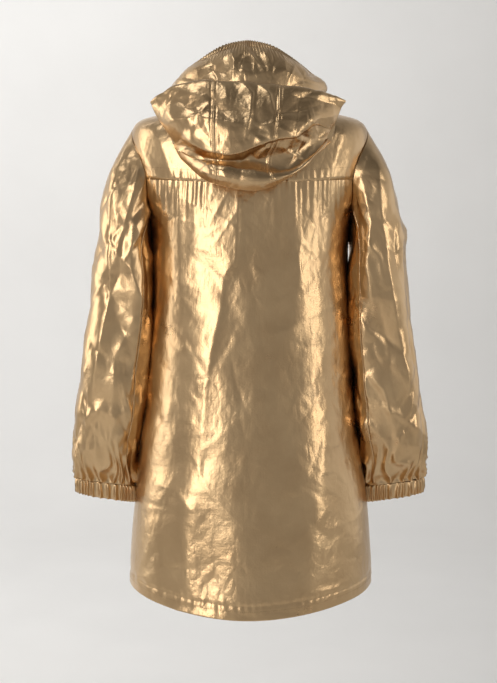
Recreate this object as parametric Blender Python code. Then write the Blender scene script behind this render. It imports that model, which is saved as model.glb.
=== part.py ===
"""Hooded raincoat, women's medium, hood down and zipped shut, as it hangs on a dress form.

Run with: blender --background --python part.py

Metres, +Z up; the coat's front faces -Y and the wearer's left is +X. The origin is the middle of
the hanger loop's bearing face, inside the back of the neck. The real cloth is 0.3 mm thick; here
each cloth piece is a stiff shell, cut along its real seams, with a narrow gap at each seam.
"""

import math

import bmesh
import bpy
import numpy as np

# Driving dimensions --------------------------------------------------------------------------
CLOTH = 0.0012  # thickness of a cloth shell
SEAM = 0.0014  # width of the gap at a seam
AXIS_Y = -0.053  # the coat's upright middle line, in front of the hanger loop
CENTRE_TOP = (-0.015, 0.088)  # the straight centre front: height, and depth from the middle line
CENTRE_SLOPE = 0.0997  # growth of that depth per metre down
ZIP_EDGE = 0.014  # from the centre front to the edge of each front panel
ZIP_TOP, ZIP_BOTTOM = -0.064, -0.772
HEM_DEPTH = 0.023
ARMHOLE_BACK = math.radians(24)  # how far the armhole bites into the back and into the fronts
ARMHOLE_FRONT = math.radians(30)
SHOULDER_TIP = (0.190, -0.030)  # where a sleeve swings, from the middle line and in height
HOOD_PIVOT = (-0.146, -0.050)  # the hood's two front ends, Y and Z
HOOD_GUSSET = 0.052  # half the width of the hood's middle panel
HOOD_WING = 0.150  # half the width of the hood as it lies
POCKET_ANGLES = (math.radians(163), math.radians(113))
POCKET_RINGS = (5.20, 5.48)  # the flap's upper and lower edge, counted in body rings
POCKET_BAG_END = 5.95
BAG_LAYERS = (-0.0026, -0.0050)  # the flat bag's outer and inner face, inside the front
FLAP_OUT = 0.0056  # how far a pocket flap stands off the front

# A snap, turned about a line out of the front: distance from the front's middle face, and radius.
SNAP_STUD = ((0.0014, 0.0048), (0.0020, 0.0048), (0.0020, 0.0018), (0.0034, 0.0018))
SNAP_CAP = (
    (0.0039, 0.0002),
    (0.0039, 0.0022),
    (0.0024, 0.0022),
    (0.0024, 0.0048),
    (0.0042, 0.0048),
    (0.0042, 0.0018),
    (0.0068, 0.0018),
    (0.0068, 0.0058),
    (0.0078, 0.0052),
)
SNAP_HOLE = ((0.0030, 0.0023), (0.0090, 0.0023))

# The body's rings, from the neck seam to the hem: half width, depth to the back, height at the
# side, at the centre back and at the centre front, and how square the ring is (2 is an ellipse).
NECK, TIP, YOKE, UNDERARM, HEM = 0, 2, 3, 4, 7
RINGS = (
    (0.078, 0.064, 0.014, 0.004, -0.060, 2.0),
    (0.135, 0.094, -0.006, -0.022, -0.088, 2.3),
    (0.188, 0.113, -0.030, -0.064, -0.120, 2.6),
    (0.186, 0.121, -0.110, -0.118, -0.160, 2.5),
    (0.161, 0.124, -0.205, -0.205, -0.220, 2.3),
    (0.167, 0.134, -0.400, -0.400, -0.405, 2.2),
    (0.186, 0.152, -0.600, -0.604, -0.600, 2.1),
    (0.199, 0.170, -0.775, -0.799, -0.784, 2.1),
)
# The sleeve's rings below the armhole, down to the cuff's lower edge: middle, half width, half
# depth, how far the middle is behind the coat's middle line, height, and how much higher the outer
# side is than the middle. Counted with the armhole as ring 0.
CUFF_TOP = 6
SLEEVE_RINGS = (
    (0.1955, 0.0280, 0.080, 0.004, -0.1685, 0.0635),
    (0.2050, 0.0385, 0.078, 0.004, -0.2425, 0.0325),
    (0.2130, 0.0450, 0.074, 0.002, -0.3325, 0.0125),
    (0.2280, 0.0525, 0.068, -0.002, -0.4600, 0.0000),
    (0.2390, 0.0535, 0.058, -0.006, -0.5625, 0.0025),
    (0.2400, 0.0490, 0.030, -0.008, -0.6110, 0.0070),
    (0.2400, 0.0490, 0.028, -0.008, -0.6375, 0.0085),
)
# The hood's standing brim at each 30 degrees from the centre back round to the front: radius and
# height of the seam at its foot, then of its free edge.
BRIM = (
    (0.114, 0.024, 0.067, 0.113),
    (0.120, 0.023, 0.085, 0.104),
    (0.132, 0.022, 0.110, 0.080),
    (0.104, 0.020, 0.128, 0.052),
    (0.084, 0.000, 0.120, 0.020),
    (0.090, -0.038, 0.108, -0.014),
    (0.0935, -0.056, 0.096, -0.042),
)
# The folded hood's pouch on the centre line, from the neck seam down the coat's back, round the
# bottom fold and up the outside to the brim: depth from the middle line, and height.
POUCH = (
    (0.104, -0.004),
    (0.120, -0.012),
    (0.131, -0.055),
    (0.140, -0.108),
    (0.160, -0.131),
    (0.184, -0.104),
    (0.174, -0.050),
    (0.150, 0.004),
    (0.134, 0.028),
    (0.116, 0.027),
)
POUCH_ENDS = math.radians(72)  # half the angle over which it meets the neck seam and the brim


# Surfaces ------------------------------------------------------------------------------------
def through(rows, t):
    """The smooth (Catmull-Rom) curve through the rows, which row k meets at t = k."""
    rows = np.asarray(rows, float)
    t = np.clip(np.asarray(t, float), 0, len(rows) - 1)
    i = np.minimum(t.astype(int), len(rows) - 2)
    f = (t - i)[..., None]
    a, b = rows[np.maximum(i - 1, 0)], rows[i]
    c, d = rows[i + 1], rows[np.minimum(i + 2, len(rows) - 1)]
    return b + 0.5 * f * (c - a + f * (2 * a - 5 * b + 4 * c - d + f * (3 * b - 3 * c + d - a)))


def centre_depth(z):
    """How far the centre front is in front of the middle line at height z."""
    return CENTRE_TOP[1] + CENTRE_SLOPE * (CENTRE_TOP[0] - z)


def body(angle, t, out=0.0):
    """A point of the body: angle from the centre back towards +X, t counts rings, out offsets it."""
    width, back, z_side, z_back, z_front, square = np.moveaxis(through(RINGS, t), -1, 0)
    s, c = np.sin(angle), np.cos(angle)
    depth = np.where(c >= 0, back, centre_depth(z_front))
    z = z_side + np.where(c >= 0, z_back - z_side, z_front - z_side) * c**2
    r = ((np.abs(s) / width) ** square + (np.abs(c) / depth) ** square) ** (-1 / square) + out
    return np.stack([r * s, AXIS_Y + r * c, z], -1)


def side_angle(t, front):
    """The angle of the shoulder seam, the armhole or the side seam, from the centre back."""
    bite = np.sin(np.pi * np.clip((t - TIP) / (UNDERARM - TIP), 0, 1)) ** 0.8
    return np.pi / 2 + (ARMHOLE_FRONT if front else -ARMHOLE_BACK) * bite


def sleeve(around, s):
    """A point of the left sleeve: around is 0 on the outside and a quarter turn at the back."""
    around, s = np.broadcast_arrays(np.mod(around, 2 * np.pi), s)
    half = np.where(around <= np.pi, around, 2 * np.pi - around) / np.pi
    t = TIP + (UNDERARM - TIP) * half
    armhole = body(np.where(around <= np.pi, side_angle(t, False), side_angle(t, True)), t, 0.0028)
    rings = [armhole]
    for middle, wide, deep, behind, z, rise in SLEEVE_RINGS:
        x = middle + wide * np.cos(around)
        y = AXIS_Y + behind + deep * np.sin(around)
        rings.append(np.stack([x, y, z + rise * np.cos(around)], -1))
    i = np.clip(s.astype(int), 0, len(rings) - 2)
    f = (s - i)[..., None]
    a, b, c, d = (np.choose(np.clip(i + k, 0, len(rings) - 1)[..., None], rings) for k in (-1, 0, 1, 2))
    return b + 0.5 * f * (c - a + f * (2 * a - 5 * b + 4 * c - d + f * (3 * b - 3 * c + d - a)))


def brim(angle, v):
    """A point of the hood's brim: v is 0 on the seam at its foot and 1 on its free edge."""
    foot_r, foot_z, edge_r, edge_z = np.moveaxis(through(BRIM, np.abs(angle) / math.radians(30)), -1, 0)
    r = foot_r + (edge_r - foot_r) * v + 0.006 * np.sin(np.pi * v)
    return np.stack([r * np.sin(angle), AXIS_Y + r * np.cos(angle), foot_z + (edge_z - foot_z) * v], -1)


def cuff(around, v):
    """A point of the left cuff: v is 0 at its seam with the sleeve and 1 at its lower edge."""
    rows = [sleeve(around, np.full_like(around, float(CUFF_TOP + k))) for k in (0, 1)]
    return rows[0] + (rows[1] - rows[0]) * v[..., None]


def offset(surface, distance):
    """The surface moved outwards, where p runs down it and q anticlockwise, seen from above."""

    def moved(p, q):
        step = 1e-4
        down = surface(p + step, q) - surface(p - step, q)
        along = surface(p, q + step) - surface(p, q - step)
        normal = np.cross(down, along)
        return surface(p, q) + distance * normal / np.linalg.norm(normal, axis=-1, keepdims=True)

    return moved


def pouch(u, v):
    """A point of the folded hood's pouch: u runs -1 to 1 across, v counts the rows of POUCH.

    Each upright section is the centre one, drawn in towards a line under the brim as it nears the
    wing tips. The first two rows bend round to the neck seam, the last to the foot of the brim.
    """
    y, z = np.moveaxis(through(POUCH, v), -1, 0)
    size = (1 - 0.94 * u**2) ** 0.6
    y = 0.134 - 0.026 * u**2 + (y - 0.134) * size
    z = -0.002 + 0.006 * u**2 + (z + 0.002) * size
    lying = np.stack([HOOD_WING * u, AXIS_Y + y, z], -1)
    angle = POUCH_ENDS * u
    foot = brim(angle, np.zeros_like(u)) + 0.0032 * np.stack([np.sin(angle), np.cos(angle), 0 * u], -1)
    neck = body(angle, np.full_like(u, 0.02), 0.004) + (0, 0, 0.010)
    to_neck = np.clip(1 - v / 2, 0, 1)[..., None] ** 1.5
    to_brim = np.clip((v - len(POUCH) + 3) / 2, 0, 1)[..., None] ** 1.5
    return lying + to_neck * (neck - lying) + to_brim * (foot - lying)


# Building ------------------------------------------------------------------------------------
def clear_scene():
    for item in list(bpy.data.objects):
        bpy.data.objects.remove(item, do_unlink=True)


def material(name, colour, roughness, metallic):
    made = bpy.data.materials.new(name)
    made.use_nodes = True
    shader = made.node_tree.nodes["Principled BSDF"]
    shader.inputs["Base Color"].default_value = (*colour, 1.0)
    shader.inputs["Roughness"].default_value = roughness
    shader.inputs["Metallic"].default_value = metallic
    return made


def add(name, points, faces, finish, wall=None):
    """A named object; with a wall, its faces become a shell that thick, centred on them."""
    mesh = bpy.data.meshes.new(name)
    mesh.from_pydata([tuple(map(float, p)) for p in points], [], faces)
    mesh.materials.append(finish)
    mesh.shade_smooth()
    mesh.set_sharp_from_angle(angle=math.radians(40))
    item = bpy.data.objects.new(name, mesh)
    bpy.context.scene.collection.objects.link(item)
    if wall:
        shell = item.modifiers.new("wall", "SOLIDIFY")
        shell.thickness = wall
        shell.offset = 0
        shell.use_even_offset = False
    return item


def sheet(name, surface, rows, columns, finish, mirror=False, ring=False, wall=CLOTH):
    """A cloth shell over surface(p, q), with p and q from 0 to 1. A ring closes in q."""
    across = columns if ring else columns + 1
    p, q = np.meshgrid(np.arange(rows + 1) / rows, np.arange(across) / columns, indexing="ij")
    points = surface(p, q).reshape(-1, 3)
    if mirror:
        points = points * (-1, 1, 1)
    faces = []
    for i in range(rows):
        for j in range(columns):
            k = (j + 1) % across
            quad = (i * across + j, i * across + k, (i + 1) * across + k, (i + 1) * across + j)
            faces.append(quad[::-1] if mirror else quad)
    return add(name, points, faces, finish, wall)


def loft(name, rings, finish):
    """A solid through rings of points, closed by a flat face at each end."""
    around = len(rings[0])
    faces = [tuple(range(around))[::-1]]
    for k in range(len(rings) - 1):
        for j in range(around):
            n = (j + 1) % around
            faces.append((k * around + j, k * around + n, (k + 1) * around + n, (k + 1) * around + j))
    last = (len(rings) - 1) * around
    faces.append(tuple(last + j for j in range(around)))
    item = add(name, [point for ring in rings for point in ring], faces, finish)
    shape = bmesh.new()
    shape.from_mesh(item.data)
    bmesh.ops.recalc_face_normals(shape, faces=shape.faces)
    shape.to_mesh(item.data)
    shape.free()
    return item


def turned(name, base, outward, profile, finish, sides=12):
    """A turned solid: profile lists (distance along outward, radius), from the base outwards."""
    outward = np.asarray(outward, float) / np.linalg.norm(outward)
    across = np.cross((0, 0, 1.0), outward)
    across /= np.linalg.norm(across)
    up = np.cross(outward, across)
    turn = np.arange(sides) * 2 * np.pi / sides
    circle = np.outer(np.cos(turn), across) + np.outer(np.sin(turn), up)
    return loft(name, [base + along * outward + radius * circle for along, radius in profile], finish)


def block(name, low, high, finish):
    """A block in the zip's own frame: X across, -Y outwards from the zip, Z up along it."""
    (x0, y0, z0), (x1, y1, z1) = low, high
    rings = [[(x0, y0, z), (x1, y0, z), (x1, y1, z), (x0, y1, z)] for z in (z0, z1)]
    item = loft(name, rings, finish)
    item.location = (0, AXIS_Y - centre_depth(ZIP_TOP), ZIP_TOP)
    item.rotation_euler = (-math.atan(CENTRE_SLOPE), 0, 0)
    return item


def cut(item, cutter):
    """Cuts cutter out of item; the cutter stays as a hidden guide."""
    cutter.hide_render = True
    cutter.display_type = "WIRE"
    change = item.modifiers.new("cut", "BOOLEAN")
    change.operation = "DIFFERENCE"
    change.solver = "EXACT"
    change.object = cutter


def hang(pivot_name, place, items):
    """Parents the items to an empty on their joint's axis, without moving them."""
    pivot = bpy.data.objects.new(pivot_name, None)
    pivot.location = place
    bpy.context.scene.collection.objects.link(pivot)
    bpy.context.view_layer.update()
    for item in items:
        item.parent = pivot
        item.matrix_parent_inverse = pivot.matrix_world.inverted()


# The body ------------------------------------------------------------------------------------
def build_back(cloth):
    def panel(first, last):
        def surface(p, q):
            t = first + (last - first) * p
            edge = side_angle(t, False) - SEAM / 0.16
            return body(edge * (1 - 2 * q), t)

        return surface

    seam = 0.007  # the yoke seam's gap, in rings
    sheet("back_yoke", panel(NECK + 0.02, YOKE - seam), 7, 14, cloth)
    sheet("back_panel", panel(YOKE + seam, HEM), 11, 14, cloth)


def build_fronts(cloth):
    def surface(p, q):
        t = NECK + 0.02 + (HEM - NECK - 0.02) * p
        side = side_angle(t, True) + SEAM / 0.16
        middle = np.pi - ZIP_EDGE / centre_depth(through(RINGS, t)[..., 4])
        return body(side + (middle - side) * (1 - q), t)

    left = sheet("left_front", surface, 15, 9, cloth)
    right = sheet("right_front", surface, 15, 9, cloth, mirror=True)
    return left, right


def build_hems(cloth):
    """The turned-up hem allowance, just inside the panels."""
    inside = -0.0028
    first = HEM - HEM_DEPTH / 0.185
    seam = SEAM / 0.19
    near_zip = np.pi - 0.030 / centre_depth(-0.78)

    def back(p, q):
        return body((np.pi / 2 - seam) * (1 - 2 * q), first + (HEM - first) * p, inside)

    def front(p, q):
        angle = near_zip + (np.pi / 2 + seam - near_zip) * q
        return body(angle, first + (HEM - first) * p, inside)

    sheet("back_hem_facing", back, 1, 14, cloth)
    sheet("left_front_hem_facing", front, 1, 9, cloth)
    sheet("right_front_hem_facing", front, 1, 9, cloth, mirror=True)


def build_neck(cloth, tape):
    """The facing inside the neck seam, and the loop that the coat hangs by."""
    inside = -0.0030
    reach = math.radians(150)

    def facing(p, q):
        point = body(reach * (1 - 2 * q), np.full_like(p, 0.02), inside)
        point[..., 2] += 0.003 - 0.018 * p
        return point

    sheet("neck_facing", facing, 1, 36, cloth)
    thick, high = 0.0016, 0.006
    against = AXIS_Y + RINGS[0][1] + inside - CLOTH / 2 - 0.0008 - thick
    width = RINGS[0][0] + inside
    stations = (-0.034, -0.024, -0.019, 0.019, 0.024, 0.034)
    rings = []
    for x in stations:
        bend = (against - AXIS_Y) * (1 - math.sqrt(1 - (x / width) ** 2))
        y = -thick / 2 if abs(x) < 0.020 else against - bend
        rings.append([(x, y, 0), (x, y, high), (x, y + thick, high), (x, y + thick, 0)])
    loft("hanger_loop", rings, tape)


# The sleeves ---------------------------------------------------------------------------------
def build_sleeve(side, cloth, band):
    mirror = side == "right"
    seam = SEAM / 0.075 / 2
    front, back = math.radians(-50), math.radians(130)  # the two long seams, round the arm

    def part(start, end):
        first, last = 0.07, CUFF_TOP - 0.03
        return lambda p, q: sleeve(start + (end - start) * q, first + (last - first) * p)

    def band_part(low, high):
        return lambda p, q: cuff(2 * np.pi * q, low + (high - low) * p)

    upper = part(back - seam, front + seam)
    under = part(front + 2 * np.pi - seam, back + seam)
    outer = band_part(0.04, 1.0)
    elastic = offset(band_part(0.12, 0.92), -0.0019)
    facing = offset(outer, -0.0038)
    pieces = [
        sheet(f"{side}_sleeve_upper", upper, 12, 8, cloth, mirror),
        sheet(f"{side}_sleeve_under", under, 12, 8, cloth, mirror),
        sheet(f"{side}_cuff", outer, 1, 24, cloth, mirror, ring=True),
        sheet(f"{side}_cuff_elastic", elastic, 1, 24, band, mirror, ring=True, wall=0.0010),
        sheet(f"{side}_cuff_facing", facing, 1, 24, cloth, mirror, ring=True),
    ]
    tip, height = SHOULDER_TIP
    hang(f"{side}_shoulder", (-tip if mirror else tip, AXIS_Y, height), pieces)


# The hood ------------------------------------------------------------------------------------
def build_hood(cloth, band):
    reach = math.radians(174)

    def edge_piece(low, high):
        return lambda p, q: brim(reach * (1 - 2 * q), high + (low - high) * p)

    facing = offset(edge_piece(0.86, 1.0), -0.0048)
    elastic = offset(edge_piece(0.88, 0.97), -0.0024)
    pieces = [
        sheet("hood_brim", edge_piece(0.02, 1.0), 4, 32, cloth),
        sheet("hood_edge_facing", facing, 1, 32, cloth),
        sheet("hood_edge_elastic", elastic, 1, 32, band, wall=0.0010),
    ]
    gusset = HOOD_GUSSET / HOOD_WING
    seam = SEAM / 2 / HOOD_WING
    rows = len(POUCH) - 1

    def side(p, q):
        return pouch(0.97 + (gusset + seam - 0.97) * q, rows * (1 - p))

    def middle(p, q):
        return pouch((gusset - seam) * (1 - 2 * q), rows * (1 - p))

    pieces += [
        sheet("hood_left_panel", side, 15, 6, cloth),
        sheet("hood_right_panel", side, 15, 6, cloth, mirror=True),
        sheet("hood_center_panel", middle, 15, 4, cloth),
    ]
    hang("hood_pivot", (0, *HOOD_PIVOT), pieces)


# The zip -------------------------------------------------------------------------------------
def build_zip(cloth, tape, coil, metal):
    """An open-end coil zip along the straight centre front, with its slider at the top."""
    length = (ZIP_TOP - ZIP_BOTTOM) / math.cos(math.atan(CENTRE_SLOPE))
    end = -length + 0.0085  # the tape's lower end, on the retainer box
    for side, sign in (("left", 1), ("right", -1)):

        def half(name, inner, outer, depth, low, high, finish, sign=sign):
            x = sorted((sign * inner, sign * outer))
            return block(name, (x[0], -depth, low), (x[1], depth, high), finish)

        half(f"zip_tape_{side}", 0.0029, ZIP_EDGE - 0.0012, 0.0003, end, 0, tape)
        half(f"zip_coil_{side}", 0.0005, 0.0025, 0.0011, end, -0.0030, coil)
        half(f"zip_top_stop_{side}", 0.0005, 0.0025, 0.0014, -0.0026, -0.0002, metal)
        pin = "zip_insertion_pin" if side == "right" else "zip_box_pin"
        half(pin, 0.0005, 0.0022, 0.0007, -length + 0.0015, end - 0.0004, metal)
    retainer = block("zip_retainer_box", (-0.0042, -0.0018, -length), (0.0042, 0.0018, end - 0.0012), metal)
    cut(retainer, block("retainer_bore", (-0.0026, -0.0011, -length + 0.0010), (0.0026, 0.0011, end), metal))

    # The slider's two plates are joined by a thin post, which runs between the coils.
    slider = block("zip_slider", (-0.0042, -0.0031, -0.0150), (0.0042, 0.0027, -0.0045), metal)
    for sign, name in ((1, "left"), (-1, "right")):
        x = sorted((sign * 0.00018, sign * 0.0100))
        cut(slider, block(f"slider_channel_{name}", (x[0], -0.0015, -0.0200), (x[1], 0.0015, 0), metal))
    post = block("slider_post_end", (-0.0100, -0.0015, -0.0200), (0.0100, 0.0015, -0.0075), metal)
    cut(slider, post)
    pull = block("zip_pull", (-0.0035, -0.0049, -0.0400), (0.0035, -0.0035, -0.0084), metal)
    cut(pull, block("pull_eye", (-0.0018, -0.0080, -0.0380), (0.0018, 0, -0.0330), metal))
    lean = np.array(((0, 1, CENTRE_SLOPE), (0, -CENTRE_SLOPE, 1))) / math.hypot(1, CENTRE_SLOPE)
    eye = lean @ (0, -0.0042, -0.0090)
    hang("zip_slide", (0, AXIS_Y - centre_depth(ZIP_TOP) + eye[0], ZIP_TOP + eye[1]), [slider, pull])

    # The inner guard is a long strip behind the zip, which keeps the wind out.
    block("zip_guard", (-0.0200, 0.0050, end), (0.0200, 0.0062, -0.0060), cloth)


# The pockets ---------------------------------------------------------------------------------
def build_pocket(side, front, cloth, lining, metal):
    """A slit in the front with a bag behind it, under a flap that two snaps hold shut."""
    mirror = side == "right"
    flip = np.array((-1, 1, 1)) if mirror else np.array((1, 1, 1))
    near, far = POCKET_ANGLES
    top, bottom = POCKET_RINGS

    def flap_surface(p, q):
        return body(near + (far - near) * q, top + (bottom - top) * p, FLAP_OUT)

    flap = sheet(f"{side}_pocket_flap", flap_surface, 4, 12, cloth, mirror)
    moving = [flap]
    for place, share in (("inner", 0.14), ("outer", 0.86)):
        angle = near + (far - near) * share
        t = top + (bottom - top) * 0.74
        base = body(angle, t) * flip
        outward = offset(lambda p, q: body(-q, p), 1.0)(t, -angle) * flip - base
        name = f"{side}_pocket_snap"
        turned(f"{name}_stud_{place}", base, outward, SNAP_STUD, metal)
        moving.append(turned(f"{name}_cap_{place}", base, outward, SNAP_CAP, metal))
        cut(flap, turned(f"{name}_hole_{place}", base, outward, SNAP_HOLE, metal))
    middle = body((near + far) / 2, top, FLAP_OUT) * flip
    hang(f"{side}_pocket_hinge", middle, moving)

    # A slit just under the flap's upper edge is the pocket's mouth. The empty bag lies flat inside.
    slit_top, slit_bottom = top + 0.045, top + 0.061
    corners = ((slit_top, -0.006), (slit_top, 0.006), (slit_bottom, 0.006), (slit_bottom, -0.006))
    turns = np.linspace(near, far, 13)[1:-1]
    rings = np.stack([body(turns, np.full(len(turns), t), out) for t, out in corners], 1)
    cut(front, loft(f"{side}_pocket_slit", rings * flip, lining))
    levels = np.linspace(slit_top - 0.02, POCKET_BAG_END, 6)
    turns = np.linspace(near - 0.02, far + 0.02, 9)
    layers = [np.stack([body(turns, np.full(len(turns), t), out) for t in levels], 1) for out in BAG_LAYERS]
    rings = np.concatenate([layers[0], layers[1][:, ::-1]], axis=1)
    loft(f"{side}_pocket_bag", rings * flip, lining)


def main():
    clear_scene()
    cloth = material("coated_cloth", (0.45, 0.31, 0.16), 0.32, 1.0)
    lining = material("pocket_lining", (0.30, 0.24, 0.16), 0.8, 0.0)
    band = material("elastic", (0.75, 0.73, 0.68), 0.8, 0.0)
    tape = material("woven_tape", (0.33, 0.24, 0.13), 0.7, 0.0)
    coil = material("zip_coil", (0.30, 0.21, 0.11), 0.4, 0.0)
    metal = material("zip_metal", (0.58, 0.45, 0.26), 0.28, 1.0)
    build_back(cloth)
    left, right = build_fronts(cloth)
    build_hems(cloth)
    build_neck(cloth, tape)
    for side in ("left", "right"):
        build_sleeve(side, cloth, band)
    build_hood(cloth, band)
    build_zip(cloth, tape, coil, metal)
    build_pocket("left", left, cloth, lining, metal)
    build_pocket("right", right, cloth, lining, metal)


main()
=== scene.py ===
import math

import bpy
import numpy as np
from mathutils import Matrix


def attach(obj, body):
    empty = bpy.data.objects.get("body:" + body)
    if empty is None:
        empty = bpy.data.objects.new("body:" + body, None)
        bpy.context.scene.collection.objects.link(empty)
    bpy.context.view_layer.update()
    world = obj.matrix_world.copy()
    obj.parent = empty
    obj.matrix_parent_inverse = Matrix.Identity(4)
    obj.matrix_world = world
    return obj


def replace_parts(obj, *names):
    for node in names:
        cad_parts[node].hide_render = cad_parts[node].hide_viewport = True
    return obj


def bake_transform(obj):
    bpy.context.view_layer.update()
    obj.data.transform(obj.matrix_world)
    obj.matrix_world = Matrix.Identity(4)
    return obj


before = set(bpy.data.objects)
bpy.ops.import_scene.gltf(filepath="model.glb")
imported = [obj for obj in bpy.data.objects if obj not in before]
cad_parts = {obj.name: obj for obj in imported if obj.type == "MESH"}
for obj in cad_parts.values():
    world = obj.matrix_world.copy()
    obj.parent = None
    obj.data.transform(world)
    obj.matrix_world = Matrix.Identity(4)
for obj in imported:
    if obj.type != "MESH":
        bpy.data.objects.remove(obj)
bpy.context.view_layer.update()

# --- Camera ----------------------------------------------------------------------------------
# Behind the coat at chest height, tipped a little down, with a long portrait lens.
eye = bpy.data.objects.new("camera", bpy.data.cameras.new("camera"))
bpy.context.scene.collection.objects.link(eye)
eye.location = (0.002, 2.25, -0.146)
eye.rotation_euler = (math.radians(90 - 5.76), 0, math.pi)
eye.data.lens = 74
bpy.context.scene.camera = eye

# --- Coated cloth ----------------------------------------------------------------------------
# The coat is cut from thin polyester taffeta with a metallic polyurethane film on its outer face.
# The film gives a satin, metal-like gloss, broken by the weave under it and by fine crinkles.


def linear(code):
    """An sRGB hex colour as linear red, green, blue and alpha."""
    parts = [int(code[i : i + 2], 16) / 255 for i in (0, 2, 4)]
    return (*[c / 12.92 if c < 0.04045 else ((c + 0.055) / 1.055) ** 2.4 for c in parts], 1.0)


def node(tree, kind, links=None, values=None, **settings):
    """Adds a node with its settings, links into its inputs, and fixed values on other inputs."""
    made = tree.nodes.new(kind)
    for name, value in settings.items():
        setattr(made, name, value)
    for name, value in (values or {}).items():
        made.inputs[name].default_value = value
    for name, source in (links or {}).items():
        tree.links.new(source, made.inputs[name])
    return made


def shader_of(name):
    """A new material, its node tree and its Principled shader."""
    made = bpy.data.materials.new(name)
    made.use_nodes = True
    return made, made.node_tree, made.node_tree.nodes["Principled BSDF"]


def ramp(tree, factor, *stops):
    """A colour ramp over (place, linear colour) stops."""
    made = node(tree, "ShaderNodeValToRGB", {"Fac": factor})
    made.color_ramp.elements[0].position, made.color_ramp.elements[0].color = stops[0]
    made.color_ramp.elements[1].position, made.color_ramp.elements[1].color = stops[-1]
    for place, colour in stops[1:-1]:
        made.color_ramp.elements.new(place).color = colour
    return made.outputs["Color"]


def plain_weave(tree, scale):
    """The height of a plain weave over the cloth's UV map: the product of its warp and weft waves."""
    thread = node(tree, "ShaderNodeUVMap", uv_map="cloth").outputs["UV"]
    warp = node(tree, "ShaderNodeTexWave", {"Vector": thread}, {"Scale": scale}, bands_direction="X")
    weft = node(tree, "ShaderNodeTexWave", {"Vector": thread}, {"Scale": scale}, bands_direction="Y")
    links = {0: warp.outputs["Fac"], 1: weft.outputs["Fac"]}
    return node(tree, "ShaderNodeMath", links, operation="MULTIPLY").outputs["Value"]


def dress(tree, shader, colour, bump=None, **values):
    """Gives a shader its colour, its bump and its plain values, whose names have _ for a space."""
    tree.links.new(colour, shader.inputs["Base Color"])
    if bump:
        tree.links.new(bump.outputs["Normal"], shader.inputs["Normal"])
    for name, value in values.items():
        shader.inputs[name.replace("_", " ")].default_value = value


film, tree, shader = shader_of("metallic_film_on_taffeta")
place = node(tree, "ShaderNodeTexCoord").outputs["Object"]
patch = node(tree, "ShaderNodeTexNoise", {"Vector": place}, {"Scale": 14, "Detail": 5, "Roughness": 0.6})
crinkle = node(tree, "ShaderNodeTexNoise", {"Vector": place}, {"Scale": 150, "Detail": 3, "Roughness": 0.55})
soft = node(tree, "ShaderNodeTexNoise", {"Vector": place}, {"Scale": 38, "Detail": 3, "Roughness": 0.5})
weave = plain_weave(tree, 80)
gloss = node(tree, "ShaderNodeMapRange", {"Value": patch.outputs["Fac"]}, {"To Min": 0.22, "To Max": 0.38})
tree.links.new(gloss.outputs["Result"], shader.inputs["Roughness"])
tall = node(tree, "ShaderNodeMapping", {"Vector": place}, {"Scale": (1, 1, 0.6), "Rotation": (0.2, 0.3, 0.2)})
cells = {"Vector": tall.outputs["Vector"]}
facet, small = (
    node(tree, "ShaderNodeTexVoronoi", cells, {"Scale": scale}, feature="DISTANCE_TO_EDGE") for scale in (24, 62)
)
worn = node(
    tree,
    "ShaderNodeMapRange",
    {"Value": node(tree, "ShaderNodeTexNoise", {"Vector": place}, {"Scale": 9, "Detail": 2}).outputs["Fac"]},
    {"From Min": 0.42, "From Max": 0.62},
    interpolation_type="SMOOTHSTEP",
)
minor = node(tree, "ShaderNodeMath", {0: small.outputs["Distance"], 1: worn.outputs["Result"]}, operation="MULTIPLY")
both = node(tree, "ShaderNodeMath", {0: facet.outputs["Distance"], 1: minor.outputs["Value"]}, operation="ADD")
bump = node(tree, "ShaderNodeBump", {"Height": both.outputs["Value"]}, {"Strength": 0.5, "Distance": 0.0016})
for height, strength, distance in (
    (soft.outputs["Fac"], 0.3, 0.004),
    (crinkle.outputs["Fac"], 0.16, 0.0014),
    (weave, 0.1, 0.0002),
):
    links = {"Height": height, "Normal": bump.outputs["Normal"]}
    bump = node(tree, "ShaderNodeBump", links, {"Strength": strength, "Distance": distance})
colour = ramp(tree, patch.outputs["Fac"], (0.1, linear("c9a67b")), (0.9, linear("e0c195")))
dress(tree, shader, colour, bump, Metallic=1.0, Coat_Weight=0.18, Coat_Roughness=0.16)

# The inner face of the same cloth is bare taffeta, dull with a slight silky sheen.
taffeta, tree, shader = shader_of("bare_taffeta")
place = node(tree, "ShaderNodeTexCoord").outputs["Object"]
patch = node(tree, "ShaderNodeTexNoise", {"Vector": place}, {"Scale": 20, "Detail": 4})
weave = plain_weave(tree, 80)
bump = node(tree, "ShaderNodeBump", {"Height": weave}, {"Strength": 0.3, "Distance": 0.0003})
colour = ramp(tree, patch.outputs["Fac"], (0.1, linear("a08358")), (0.9, linear("c0a174")))
dress(tree, shader, colour, bump, Roughness=0.55, Sheen_Weight=0.4)


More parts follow.
